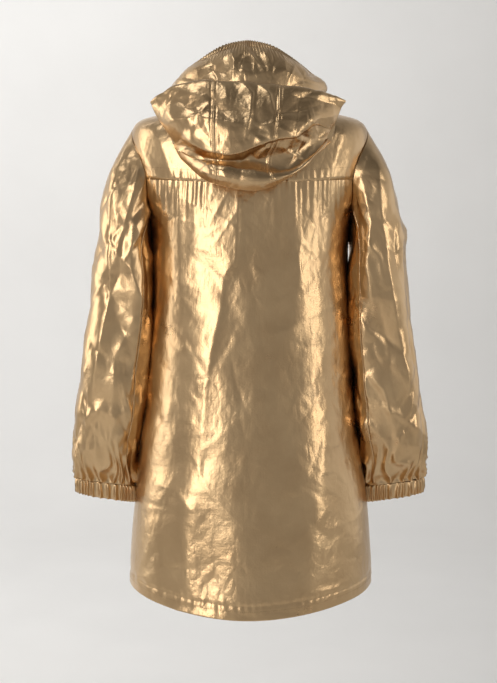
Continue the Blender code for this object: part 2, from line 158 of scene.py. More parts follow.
def grid_object(name, points, finishes, mirror=False, ring=False, keep=None):
    """A mesh of quads over a grid of points (rows, columns, 3), with a UV map in metres.

    Its faces point outwards where rows run down and columns run anticlockwise, seen from above.
    A ring joins its last column to its first. keep is a mask of the quads that stay.
    """
    rows, columns = points.shape[:2]
    steps = np.linalg.norm(np.diff(points, axis=0), axis=2).mean(1)
    turns = np.linalg.norm(np.diff(points, axis=1), axis=2).mean(0)
    down, along = np.r_[0, steps.cumsum()], np.r_[0, turns.cumsum()]
    if mirror:
        points = points * (-1, 1, 1)
    index = np.arange(rows * columns).reshape(rows, columns)
    if ring:
        index = np.hstack([index, index[:, :1]])
        along = np.r_[along, along[-1] + turns[0]]
    quads = np.stack([index[:-1, :-1], index[1:, :-1], index[1:, 1:], index[:-1, 1:]], -1)
    u = np.stack([along[:-1], along[:-1], along[1:], along[1:]], -1)[None].repeat(rows - 1, 0)
    v = np.stack([down[:-1], down[1:], down[1:], down[:-1]], -1)[:, None].repeat(index.shape[1] - 1, 1)
    uv = np.stack([u, v], -1)
    if keep is not None:
        quads, uv = quads[keep], uv[keep]
    quads, uv = quads.reshape(-1, 4), uv.reshape(-1, 4, 2)
    if mirror:
        quads, uv = quads[:, ::-1], uv[:, ::-1]
    mesh = bpy.data.meshes.new(name)
    mesh.vertices.add(rows * columns)
    mesh.vertices.foreach_set("co", points.astype(np.float32).ravel())
    mesh.loops.add(quads.size)
    mesh.loops.foreach_set("vertex_index", quads.astype(np.int32).ravel())
    mesh.polygons.add(len(quads))
    mesh.polygons.foreach_set("loop_start", np.arange(0, quads.size, 4, dtype=np.int32))
    mesh.update(calc_edges=True)
    mesh.uv_layers.new(name="cloth").data.foreach_set("uv", uv.astype(np.float32).ravel())
    mesh.shade_smooth()
    for finish in finishes:
        mesh.materials.append(finish)
    item = bpy.data.objects.new(name, mesh)
    bpy.context.scene.collection.objects.link(item)
    return item


def cloth(name, points, flat, area=None, wall=0.0006, finishes=(film, taffeta), held="hung", **options):
    """A sheet of cloth: its outer face lies on the points and its wall goes inwards.

    flat, the width and length that it was cut to, and area, its flat area where it isn't a rectangle, are not used.
    """
    item = grid_object(name, points, finishes, **options)
    shell = item.modifiers.new("thickness", "SOLIDIFY")
    shell.thickness = wall
    shell.offset = -1
    shell.use_even_offset = False
    shell.material_offset = len(finishes) - 1
    return item


def normals(points):
    """Unit normals of a grid, outwards where rows run down and columns anticlockwise."""
    n = np.cross(np.gradient(points, axis=0), np.gradient(points, axis=1))
    return n / np.maximum(np.linalg.norm(n, axis=-1, keepdims=True), 1e-12)


def crease(x, z, width, height, power, lean, *line):
    """A raised fold along a line of (x, z) points, in millimetres.

    It stands height times exp(-(distance / width) ** power) and tapers to nothing at both ends.
    lean widens its left side, looking along the line, and narrows its right side.
    """
    line = np.asarray(line, float)
    nearest, side, share = np.full(x.shape, 1e9), np.zeros(x.shape), np.zeros(x.shape)
    for i, (a, b) in enumerate(zip(line, line[1:])):
        dx, dz = b - a
        t = np.clip(((x - a[0]) * dx + (z - a[1]) * dz) / (dx * dx + dz * dz), 0, 1)
        away = np.hypot(x - a[0] - t * dx, z - a[1] - t * dz)
        closer = away < nearest
        nearest = np.where(closer, away, nearest)
        side = np.where(closer, np.sign(dx * (z - a[1]) - dz * (x - a[0])), side)
        share = np.where(closer, (i + t) / (len(line) - 1), share)
    taper = np.clip(np.sin(np.pi * share), 0, 1) ** 0.6
    return height * taper * np.exp(-((nearest / (width * (1 + lean * side))) ** power))


def creases(x, z, folds):
    """The sum of creases, each a (width, height, power, lean, *line)."""
    return sum(crease(x, z, *fold) for fold in folds)


def crumple(x, z, seed, count, area, length, height, width, upright=0.0):
    """Many short random creases in an area ((x0, x1), (z0, z1)), all in millimetres.

    Each has a random middle, turn, length and height, either way; upright pulls the turns
    towards the vertical.
    """
    chance = np.random.default_rng(seed)
    total = np.zeros(x.shape)
    for _ in range(count):
        cx, cz = chance.uniform(*area[0]), chance.uniform(*area[1])
        turn = chance.uniform(-np.pi / 2, np.pi / 2)
        turn += upright * (np.sign(turn) * np.pi / 2 - turn)
        half = chance.uniform(*length) / 2
        tall = chance.uniform(*height) * chance.choice((-1, 1))
        bend = chance.uniform(-0.2, 0.2) * half
        dx, dz = half * np.cos(turn), half * np.sin(turn)
        middle = (cx - bend * np.sin(turn), cz + bend * np.cos(turn))
        lean = chance.uniform(-0.6, 0.6)
        total += crease(x, z, width, tall, 1.0, lean, (cx - dx, cz - dz), middle, (cx + dx, cz + dz))
    return total


def facets(x, z, seed, size, slope, tall=1.7, turn=0.2):
    """Flat facets with sharp edges, as crumpled film takes, over x and z in millimetres.

    The height is slope times the distance to the nearest edge between the cells of a random set of
    points about size apart. tall stretches the cells along a line turned from the vertical.
    """
    chance = np.random.default_rng(seed)
    count = int(620 * 1000 / tall / size**2)
    spots = chance.uniform((-310, -900 / tall), (310, 100 / tall), (count, 2)).astype(np.float32)
    across = (x * math.cos(turn) + z * math.sin(turn)).astype(np.float32)
    along = ((z * math.cos(turn) - x * math.sin(turn)) / tall).astype(np.float32)
    apart = np.linalg.norm(spots[:, None] - spots[None], axis=2) + 1e9 * np.eye(count, dtype=np.float32)
    height = np.empty(x.shape, np.float32)
    for row in range(len(x)):
        away = (across[row][:, None] - spots[:, 0]) ** 2 + (along[row][:, None] - spots[:, 1]) ** 2
        near = away.argmin(1)
        own = np.take_along_axis(away, near[:, None], 1)
        height[row] = ((away - own) / (2 * apart[near])).min(1, where=apart[near] < 1e8, initial=1e9)
    return slope * height


def stitches(name, path, outward, finish, pitch=0.0032, thick=0.00035):
    """A row of thread stitches along a path: long eight-sided diamonds, one for each pitch."""
    steps = np.r_[0, np.linalg.norm(np.diff(path, axis=0), axis=1).cumsum()]
    count = max(int(steps[-1] / pitch), 2)
    starts = (np.arange(count) + 0.12) * steps[-1] / count
    ends = (np.arange(count) + 0.88) * steps[-1] / count

    def at(places, values):
        return np.stack([np.interp(places, steps, values[:, k]) for k in range(3)], -1)

    a, b, up = at(starts, path), at(ends, path), at((starts + ends) / 2, outward)
    middle = (a + b) / 2 + up * thick * 0.6
    across = np.cross(b - a, up)
    across *= thick / np.linalg.norm(across, axis=1, keepdims=True)
    corners = np.stack([a, middle + across, middle + up * thick, middle - across, middle - up * thick, b], 1)
    faces = np.array([(0, 1, 2), (0, 2, 3), (0, 3, 4), (0, 4, 1), (5, 2, 1), (5, 3, 2), (5, 4, 3), (5, 1, 4)])
    faces = (faces[None] + 6 * np.arange(count)[:, None, None]).reshape(-1, 3)
    mesh = bpy.data.meshes.new(name)
    mesh.from_pydata(corners.reshape(-1, 3).tolist(), [], faces.tolist())
    mesh.materials.append(finish)
    item = bpy.data.objects.new(name, mesh)
    bpy.context.scene.collection.objects.link(item)
    return item


# Polyester sewing thread, spun and slightly glossy, a shade darker than the film.
yarn, tree, shader = shader_of("polyester_thread")
place = node(tree, "ShaderNodeTexCoord").outputs["Object"]
twist = node(tree, "ShaderNodeTexNoise", {"Vector": place}, {"Scale": 2500, "Detail": 1})
colour = ramp(tree, twist.outputs["Fac"], (0.3, linear("8a6a40")), (0.7, linear("b8935f")))
dress(tree, shader, colour, Roughness=0.45, Sheen_Weight=0.3)

# --- Body ------------------------------------------------------------------------------------
# A back yoke, a back panel gathered into it on both sides, and two fronts, sewn at the shoulders
# and sides and turned up 23 mm at the hem. Each ring gives half width, depth to the back, height at
# the side, at the centre back and at the centre front, and how square it is, in metres.
RINGS = (
    (0.078, 0.064, 0.014, 0.004, -0.060, 2.0),
    (0.135, 0.094, -0.006, -0.022, -0.088, 2.3),
    (0.188, 0.113, -0.030, -0.064, -0.120, 2.6),
    (0.186, 0.121, -0.110, -0.118, -0.160, 2.5),
    (0.161, 0.124, -0.205, -0.205, -0.220, 2.3),
    (0.167, 0.134, -0.400, -0.400, -0.405, 2.2),
    (0.186, 0.152, -0.600, -0.604, -0.600, 2.1),
    (0.199, 0.170, -0.775, -0.799, -0.784, 2.1),
)
MIDDLE = -0.053
NECK, TIP, YOKE, UNDERARM, HEM = 0.02, 2, 3, 4, 7
BACK_ROWS, FRONT_ROWS = 240, 200  # rows of the grids
HEM_STITCH = 0.119  # the stitch line above the hem, counted in rings
FRONT_LEAN = 0.0997  # how much the centre front comes forward for each unit of drop


def through(rows, t):
    """The smooth (Catmull-Rom) curve through the rows, which row k meets at t = k."""
    rows = np.asarray(rows, float)
    t = np.clip(np.asarray(t, float), 0, len(rows) - 1)
    i = np.minimum(t.astype(int), len(rows) - 2)
    f = (t - i).reshape(t.shape + (1,) * (rows.ndim - 1))
    a, b = rows[np.maximum(i - 1, 0)], rows[i]
    c, d = rows[i + 1], rows[np.minimum(i + 2, len(rows) - 1)]
    return b + 0.5 * f * (c - a + f * (2 * a - 5 * b + 4 * c - d + f * (3 * b - 3 * c + d - a)))


def centre_depth(z):
    """How far the straight centre front is in front of the middle line at height z."""
    return 0.088 - FRONT_LEAN * (0.015 + z)


def body(angle, t, out=0.0):
    """A point of the body: angle from the centre back towards +X, t counts rings, out moves it out."""
    width, back, z_side, z_back, z_front, square = np.moveaxis(through(RINGS, t), -1, 0)
    s, c = np.sin(angle), np.cos(angle)
    depth = np.where(c >= 0, back, centre_depth(z_front))
    z = z_side + np.where(c >= 0, z_back - z_side, z_front - z_side) * c**2
    r = ((np.abs(s) / width) ** square + (np.abs(c) / depth) ** square) ** (-1 / square) + out
    return np.stack([r * s, MIDDLE + r * c, z], -1)


def side_angle(t, front):
    """The angle of the shoulder seam, the armhole or the side seam, from the centre back."""
    bite = np.sin(np.pi * np.clip((t - TIP) / (UNDERARM - TIP), 0, 1)) ** 0.8
    return np.pi / 2 + math.radians(30 if front else -24) * bite


def gathers(x, z, top, x0, x1, seed):
    """Small pleats between x0 and x1 that hang from a seam at height top, in millimetres.

    Ripples of about 9 mm die out over 30 mm, and broader folds of about 34 mm over 200 mm.
    """
    chance = np.random.default_rng(seed).uniform(0, 6.28, 4)
    inside = 1 / (1 + np.exp(-(x - x0) / 5)) / (1 + np.exp((x - x1) / 5))
    below = np.clip(top - z, 0, None)
    sway = 1.3 * np.sin(x / 13 + chance[0]) + 0.8 * np.sin(x / 5.3 + chance[1])
    small = np.sin(2 * np.pi * x / 9 + sway) * np.exp(-below / 26)
    broad = np.sin(2 * np.pi * (x + below * 0.03) / 30 + 0.8 * sway + chance[2]) * np.exp(-below / 70)
    return inside * (1.2 * small + 0.7 * broad)


def back_folds(x, z):
    """How far the back stands out of its plain shape, in millimetres, from x and z in millimetres."""
    return creases(x, z, (
        (26, 3.6, 1.2, 0.7, (14, -60), (20, -235), (40, -268), (45, -320), (58, -380), (68, -440), (80, -575)),
        (22, 3.2, 1.0, 0.6, (18, -110), (18, -180), (21, -243), (38, -268)),
        (20, -2.5, 1.6, 0.2, (75, -225), (47, -285), (24, -330)),
        (13, 2.2, 1.5, -0.3, (-40, -110), (-37, -150), (-43, -225)),
        (13, 2.0, 1.5, -0.3, (-62, -110), (-72, -180), (-76, -260), (-70, -330)),
        (18, 2.5, 1.6, 0.2, (105, -120), (112, -230), (104, -330)),
        (10, 1.6, 1.2, 0.0, (66, -395), (100, -375), (130, -400)),
        (30, 4.0, 1.7, 0.2, (92, -560), (97, -650), (102, -780)),
        (32, -2.4, 1.8, 0.0, (60, -600), (62, -700), (56, -790)),
        (34, 6.0, 1.8, -0.2, (148, -585), (158, -690), (166, -790)),
        (30, -5.0, 1.8, 0.0, (126, -600), (134, -700), (132, -790)),
        (36, 4.0, 1.8, 0.3, (-120, -470), (-104, -620), (-84, -790)),
        (30, -3.0, 1.8, 0.0, (-60, -600), (-44, -790)),
        (34, 5.0, 1.8, 0.0, (-160, -560), (-172, -790)),
        (12, 2.2, 1.2, 0.4, (150, -590), (118, -600), (88, -628), (70, -640)),
        (40, 2.0, 1.8, 0.0, (0, -600), (8, -790)),
    ))


def body_folds(x, y, z, front):
    """All the folds of the body's cloth in millimetres, from a grid's places in millimetres."""
    total = crumple(x, z, 11, 170, ((-180, 180), (-790, -125)), (25, 140), (0.25, 0.95), 5)
    total += crumple(x, z, 12, 14, ((-180, 180), (-780, -140)), (90, 240), (0.4, 1.1), 30, 0.3)
    total += facets(x, z, 13, 95, 0.034, 1.6, 0.3) + facets(x, z, 14, 38, 0.014, 1.4, -0.4)
    if front:
        near = 1 - np.exp(-((x / 34) ** 2))
        total += crumple(x, z, 15, 24, ((-180, 180), (-780, -140)), (90, 260), (0.8, 2.0), 24, 0.6)
        total += gathers(x, z, -190, 120, 190, 3) + gathers(-x, z, -190, 120, 190, 4)
        return total * near
    total += back_folds(x, z)
    total += gathers(x, z, -112, 62, 150, 5) + gathers(x, z, -112, -150, -52, 6)
    return total


def body_panel(first, last, left, right, rows, columns, front=False, seam=None):
    """The grid of a body panel between two rings and two angles, with its folds and its hem line."""
    t = np.linspace(first, last, rows)[:, None] + np.zeros(columns)
    q = np.linspace(0, 1, columns)[None]
    angle = left(t) + (right(t) - left(t)) * q
    x, y, z = np.moveaxis(body(angle, t), -1, 0) * 1000
    hem = body(angle, np.full_like(t, HEM))[..., 2] * 1000
    out = body_folds(x, y, z, front) if seam is None else seam(x, z)
    rise = z - hem
    out -= 0.9 * np.exp(-(((rise - 22) / 2.0) ** 2))
    out += 0.5 * np.sin(x / 2.1 + 2 * np.sin(x / 17)) * np.exp(-(((rise - 20) / 9) ** 2))
    settle = np.clip((t - YOKE) / 0.35, 0, 1) if seam is None and not front else 1.0
    return body(angle, t, out / 1000 * (0.55 + 0.45 * settle)), angle, t


def yoke_folds(x, z):
    """Folds of the yoke: drag lines to the shoulder tips, and tension puckers along its seam."""
    total = crumple(x, z, 21, 26, ((-175, 175), (-105, -10)), (25, 80), (0.3, 1.1), 7)
    total += creases(x, z, (
        (12, 3.0, 1.4, 0.3, (150, -30), (132, -70), (118, -112)),
        (9, 2.0, 1.3, 0.0, (172, -55), (160, -85), (140, -108)),
        (11, 2.6, 1.4, 0.0, (-150, -30), (-136, -70), (-120, -112)),
        (9, 2.2, 1.2, 0.0, (-170, -48), (-158, -80), (-150, -108)),
    ))
    edge = np.exp(-np.abs(z + 110) / 7)
    return total + 1.1 * np.sin(x / 1.35 + 2 * np.sin(x / 11)) * edge


def back_side(t):
    return side_angle(t, False) - 0.004


def back_far_side(t):
    return -back_side(t)


points, _, _ = body_panel(NECK, YOKE + 0.03, back_side, back_far_side, 40, 120, seam=yoke_folds)
lip = np.exp(-((np.arange(40)[::-1] / 2.5) ** 2))[:, None, None]
points = points + normals(points) * 0.0010 * lip
yoke = cloth("back_yoke_cloth", points, (0.42, 0.20), 0.064)
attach(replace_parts(yoke, "back_yoke"), "coat")
yoke_seam = points[-4]
yoke_out = normals(points)[-4]

points, _, _ = body_panel(YOKE - 0.02, HEM, back_side, back_far_side, BACK_ROWS, 180)
back = cloth("back_panel_cloth", points, (0.50, 0.72), 0.335)
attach(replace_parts(back, "back_panel"), "coat")
back_points, back_out = points, normals(points)


def front_middle(t):
    return np.pi - 0.014 / centre_depth(through(RINGS, t)[..., 4])


def front_side(t):
    return side_angle(t, True) + 0.004


front_points, angle, t = body_panel(NECK, HEM, front_middle, front_side, FRONT_ROWS, 72, front=True)
front_out = normals(front_points)
for side, mirror in (("left", False), ("right", True)):
    slit = (t > 5.245) & (t < 5.262) & (angle > math.radians(115)) & (angle < math.radians(161))
    front = cloth(f"{side}_front_cloth", front_points, (0.28, 0.80), 0.171, mirror=mirror, keep=~slit[:-1, :-1])
    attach(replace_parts(front, f"{side}_front"), "coat")


# The hem allowance is folded up inside and topstitched 22 mm above the edge.
def hem_facing(name, flat, left, right, columns, front, mirror=False):
    points, _, _ = body_panel(HEM - 0.124, HEM, left, right, 12, columns, front=front)
    rise = np.linspace(1, 0, 12)[:, None, None]
    points = points - normals(points) * (0.0007 + 0.0014 * np.sin(np.clip(rise * 3, 0, 1) * np.pi / 2))
    piece = cloth(f"{name}_cloth", points, flat, held="folded", mirror=mirror)
    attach(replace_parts(piece, name), "coat")


hem_facing("back_hem_facing", (0.42, 0.022), back_side, back_far_side, 180, False)
for side, mirror in (("left", False), ("right", True)):
    hem_facing(f"{side}_front_hem_facing", (0.20, 0.022), front_middle, front_side, 72, True, mirror)


def sewn(name, path, outward, body_name="coat", mirror=False, **options):
    """A row of stitches along a path, which rides on a body."""
    flip = np.array((-1, 1, 1)) if mirror else 1
    row = stitches(name, path * flip, outward * flip, yarn, **options)
    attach(row, body_name)


sewn("yoke_stitches", yoke_seam, yoke_out)
hem_row = int(round((BACK_ROWS - 1) * (1 - HEM_STITCH / (HEM - YOKE + 0.02))))
sewn("back_hem_stitches", back_points[hem_row], back_out[hem_row])
for side, mirror in (("left", False), ("right", True)):
    row = int(round((FRONT_ROWS - 1) * (1 - HEM_STITCH / (HEM - NECK))))
    sewn(f"{side}_front_hem_stitches", front_points[row], front_out[row], mirror=mirror)
    sewn(f"{side}_zip_edge_stitches", front_points[:, 2], front_out[:, 2], mirror=mirror)

# A narrow facing covers the neck seam inside, and a loop of woven tape hangs from it.
p, q = np.meshgrid(np.linspace(0, 1, 10), np.linspace(0, 1, 140), indexing="ij")
points = body(math.radians(150) * (1 - 2 * q), np.full_like(p, 0.02), -0.0024 + 0.0004 * np.sin(q * 60) * p)
points[..., 2] += 0.003 - 0.018 * p
neckband = cloth("neck_facing_cloth", points, (0.42, 0.018), wall=0.0010, finishes=(taffeta,))
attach(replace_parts(neckband, "neck_facing"), "coat")

# Polyester twill tape, woven narrow and dyed to match: matt, with slanting ribs.
tape, tree, shader = shader_of("woven_polyester_tape")
thread = node(tree, "ShaderNodeUVMap", uv_map="cloth").outputs["UV"]
slant = node(tree, "ShaderNodeMapping", {"Vector": thread}, {"Rotation": (0, 0, 0.785)})
twill = node(tree, "ShaderNodeTexWave", {"Vector": slant.outputs["Vector"]}, {"Scale": 220}, bands_direction="X")
bump = node(tree, "ShaderNodeBump", {"Height": twill.outputs["Fac"]}, {"Strength": 0.5, "Distance": 0.0002})
colour = ramp(tree, twill.outputs["Fac"], (0.0, linear("8f7246")), (1.0, linear("ac8c5a")))
dress(tree, shader, colour, bump, Roughness=0.65, Sheen_Weight=0.2)


def signed_power(value, power):
    """A value raised to a power with its sign kept, which squares off a sine."""
    return np.sign(value) * np.abs(value) ** power


# The loop is a 6 mm tape whose ends are stitched flat behind the facing; its middle stands free.
x = np.linspace(-0.034, 0.034, 60)
seat = MIDDLE + 0.061 - 0.0006 - 0.0008 - 0.0016
seat = seat - (seat - MIDDLE) * (1 - np.sqrt(1 - (x / 0.075) ** 2))
free = np.clip((0.0245 - np.abs(x)) / 0.006, 0, 1)
free = free**2 * (3 - 2 * free)
line = seat + (-0.0008 - seat) * free
around = np.linspace(0, 2 * np.pi, 16, endpoint=False)
wide = signed_power(np.sin(around), 0.35) * 0.003 + 0.003
deep = signed_power(np.cos(around), 0.5) * 0.0007 + 0.0008
points = np.stack([x[:, None] + 0 * wide, line[:, None] + deep, 0 * x[:, None] + wide], -1)
loop = grid_object("hanger_loop_tape", points, [tape], ring=True)
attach(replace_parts(loop, "hanger_loop"), "coat")

# --- Sleeves ---------------------------------------------------------------------------------
# Two-piece set-in sleeves, gathered at the wrist into a cuff with an elastic band inside. The
# sleeve is soft and crumples sharply along the arm. Each ring below the armhole gives its middle,
# half width, half depth, how far behind the middle line it is, its height, and how much higher its
# outer side is.
SLEEVE_RINGS = (
    (0.1955, 0.0290, 0.072, 0.012, -0.1685, 0.0635),
    (0.2045, 0.0400, 0.064, 0.018, -0.2425, 0.0325),
    (0.2120, 0.0465, 0.060, 0.016, -0.3325, 0.0125),
    (0.2270, 0.0535, 0.058, 0.008, -0.4600, 0.0000),
    (0.2390, 0.0535, 0.054, -0.002, -0.5625, 0.0025),
    (0.2400, 0.0490, 0.030, -0.008, -0.6110, 0.0070),
    (0.2400, 0.0490, 0.028, -0.008, -0.6375, 0.0085),
)
CUFF_TOP = 6


def sleeve(around, s):
    """A point of the left sleeve: around is 0 on the outside and a quarter turn at the back."""
    around = np.mod(around, 2 * np.pi)
    half = np.where(around <= np.pi, around, 2 * np.pi - around) / np.pi
    t = TIP + (UNDERARM - TIP) * half
    armhole = body(np.where(around <= np.pi, side_angle(t, False), side_angle(t, True)), t, 0.0004)
    rings = [armhole]
    for middle, wide, deep, behind, z, rise in SLEEVE_RINGS:
        x = middle + wide * signed_power(np.cos(around), 0.85)
        y = MIDDLE + behind + deep * signed_power(np.sin(around), 0.6)
        rings.append(np.stack([x, y, z + rise * np.cos(around)], -1))
    i = np.clip(s.astype(int), 0, len(rings) - 2)
    f = (s - i)[..., None]
    a, b, c, d = (np.choose(np.clip(i + k, 0, len(rings) - 1)[..., None], rings) for k in (-1, 0, 1, 2))
    return b + 0.5 * f * (c - a + f * (2 * a - 5 * b + 4 * c - d + f * (3 * b - 3 * c + d - a)))


front_seam, back_seam = math.radians(-50), math.radians(130)


def pleats(around, side):
    """Uneven pleats round the wrist, 34 in all: -1 in a valley and 1 on its sharp ridge."""
    shift = 3 if side == "left" else 5
    phase = around * 34 + 1.8 * np.sin(around * 4 + shift) + 0.9 * np.sin(around * 10 + shift)
    return 1 - 2 * np.abs(np.sin(phase / 2)) ** 0.8


def sleeve_folds(around, points, side):
    """The sleeve's folds in millimetres, over the arc round the arm and the height."""
    x, _, z = np.moveaxis(points, -1, 0) * 1000
    arc = around * 62
    seed = 31 if side == "left" else 37
    total = crumple(arc, z, seed, 80, ((0, 390), (-560, -60)), (25, 90), (0.5, 2.0), 7)
    total += crumple(arc, z, seed + 1, 26, ((0, 390), (-560, -80)), (80, 190), (1.5, 4.0), 14, 0.25)
    total += facets(arc - 100, z, seed + 2, 80, 0.13, 1.7, 0.35)
    total += facets(arc - 100, z, seed + 3, 34, 0.045, 1.5, -0.5)
    closing = np.abs(np.mod(around - front_seam, 2 * np.pi))
    total *= np.clip(np.minimum(closing, 2 * np.pi - closing) * 62 / 12, 0, 1)
    near = np.clip(-np.cos(around), 0, 1) ** 2 * np.clip((-180 - z) / 60, 0, 1) * np.clip((z + 560) / 60, 0, 1)
    total += (7.0 if side == "left" else 3.0) * near
    low = np.clip(z + 612, 0, None)
    sway = 0.10 * np.sin(low / 17 + 5 * around) * np.clip(low / 40, 0, 1)
    total += (1 - np.exp(-low / 5)) * np.exp(-low / 34) * 8.0 * pleats(around / 2 + sway, side)
    total += 0.8 * crumple(arc, z, seed + 4, 34, ((0, 390), (-600, -440)), (30, 90), (1.5, 4.5), 9, 0.5)
    if side == "left":
        lines = (
            (10, 6.5, 1.3, 0.3, (172, -170), (177, -250), (181, -340), (190, -420), (204, -500)),
            (14, 6.0, 1.3, 0.4, (214, -70), (219, -180), (222, -300), (246, -420), (262, -520)),
            (11, 5.0, 1.2, 0.2, (172, -70), (182, -130), (203, -205), (216, -260)),
            (11, -4.0, 1.3, 0.0, (196, -170), (206, -260), (236, -330)),
            (10, 4.0, 1.2, 0.0, (160, -150), (186, -190), (190, -260)),
            (12, 4.5, 1.3, 0.0, (186, -330), (215, -400), (222, -500)),
            (10, 4.0, 1.2, 0.0, (210, -500), (240, -480), (270, -505)),
            (9, 3.0, 1.2, 0.0, (205, -560), (232, -535), (262, -560)),
        )
    else:
        lines = (
            (10, 5.0, 1.3, 0.0, (176, -300), (182, -380), (194, -470)),
            (13, 5.0, 1.3, 0.3, (196, -60), (208, -180), (226, -300), (250, -420), (268, -540)),
            (11, 5.0, 1.2, 0.2, (176, -110), (192, -180), (186, -250), (200, -330)),
            (10, 4.5, 1.2, 0.0, (170, -190), (204, -235), (214, -290)),
            (12, -4.0, 1.3, 0.0, (200, -300), (222, -380), (230, -470)),
            (11, 5.5, 1.2, 0.3, (188, -420), (216, -450), (236, -520), (250, -560)),
            (10, 4.0, 1.2, 0.0, (195, -500), (215, -530), (240, -570)),
        )
    total += np.clip(np.sin(around), 0, 1) ** 0.5 * creases(x, z, lines)
    return total * np.clip((-40 - z) / 60, 0.15, 1)


def sleeve_part(start, end, side, columns):
    """The grid of one of the sleeve's two pieces, from one long seam to the other."""
    s = np.linspace(0.0, CUFF_TOP - 0.01, 190)[:, None] + np.zeros(columns)
    around = np.linspace(start, end, columns)[None] + 0 * s
    points = sleeve(around, s)
    ends = np.clip(np.minimum(s / 0.3, 1), 0, 1) * np.clip((CUFF_TOP - s) / 0.12, 0.35, 1)
    return points + normals(points) * (sleeve_folds(around, points, side) * ends / 1000)[..., None]


def cuff_part(low, high, inside, rows, side):
    """The cuff's band, gathered on its elastic into about 34 uneven pleats."""
    v = np.linspace(low, high, rows)[:, None, None]
    around = np.linspace(0, 2 * np.pi, 340, endpoint=False)[None] + np.zeros((rows, 1))
    top, bottom = (sleeve(around, np.full_like(around, float(CUFF_TOP + k))) for k in (0, 1))
    points = top + (bottom - top) * v
    ripple = 2.6 * (1 - np.exp(-v[..., 0] / 0.07)) * pleats(around + 0.008 * np.sin(5 * v[..., 0] + 9 * around), side)
    belly = 1.8 * np.sin(np.pi * v[..., 0]) - inside
    out = normals(np.concatenate([points, points[:, :1]], 1))[:, :-1]
    return points + out * ((ripple * (0.75 + 0.25 * v[..., 0]) + belly) / 1000)[..., None]


# Knitted elastic: polyester yarn over rubber strands, off-white and ribbed along its length.
elastic, tree, shader = shader_of("knitted_elastic")
thread = node(tree, "ShaderNodeUVMap", uv_map="cloth").outputs["UV"]
rib = node(tree, "ShaderNodeTexWave", {"Vector": thread}, {"Scale": 180}, bands_direction="Y")
bump = node(tree, "ShaderNodeBump", {"Height": rib.outputs["Fac"]}, {"Strength": 0.6, "Distance": 0.0003})
colour = ramp(tree, rib.outputs["Fac"], (0.0, linear("b9b3a6")), (1.0, linear("dedacf")))
dress(tree, shader, colour, bump, Roughness=0.8)

for side, mirror in (("left", False), ("right", True)):
    upper = cloth(
        f"{side}_sleeve_upper_cloth", sleeve_part(front_seam, back_seam, side, 92), (0.26, 0.60), 0.109, mirror=mirror
    )
    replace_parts(upper, f"{side}_sleeve_upper")
    under = cloth(
        f"{side}_sleeve_under_cloth",
        sleeve_part(back_seam, front_seam + 2 * math.pi, side, 92),
        (0.22, 0.56),
        0.092,
        mirror=mirror,
    )
    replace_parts(under, f"{side}_sleeve_under")
    for piece in (upper, under):
        flip = -1 if mirror else 1
        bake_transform(piece)
    cuff = cloth(
        f"{side}_cuff_cloth", cuff_part(0, 1, 0, 14, side), (0.42, 0.027), held="gathered", mirror=mirror, ring=True
    )
    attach(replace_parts(cuff, f"{side}_cuff"), f"{side}_sleeve")
    strap = cloth(
        f"{side}_cuff_elastic_band",
        cuff_part(0.12, 0.92, 2, 8, side),
        (0.27, 0.022),
        wall=0.001,
        finishes=(elastic,),
        held="stretched",
        mirror=mirror,
        ring=True,
    )
    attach(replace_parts(strap, f"{side}_cuff_elastic"), f"{side}_sleeve")
    facing = cloth(
        f"{side}_cuff_facing_cloth",
        cuff_part(0.02, 1, 4, 14, side),
        (0.42, 0.027),
        held="gathered",
        mirror=mirror,
        ring=True,
    )
    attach(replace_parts(facing, f"{side}_cuff_facing"), f"{side}_sleeve")

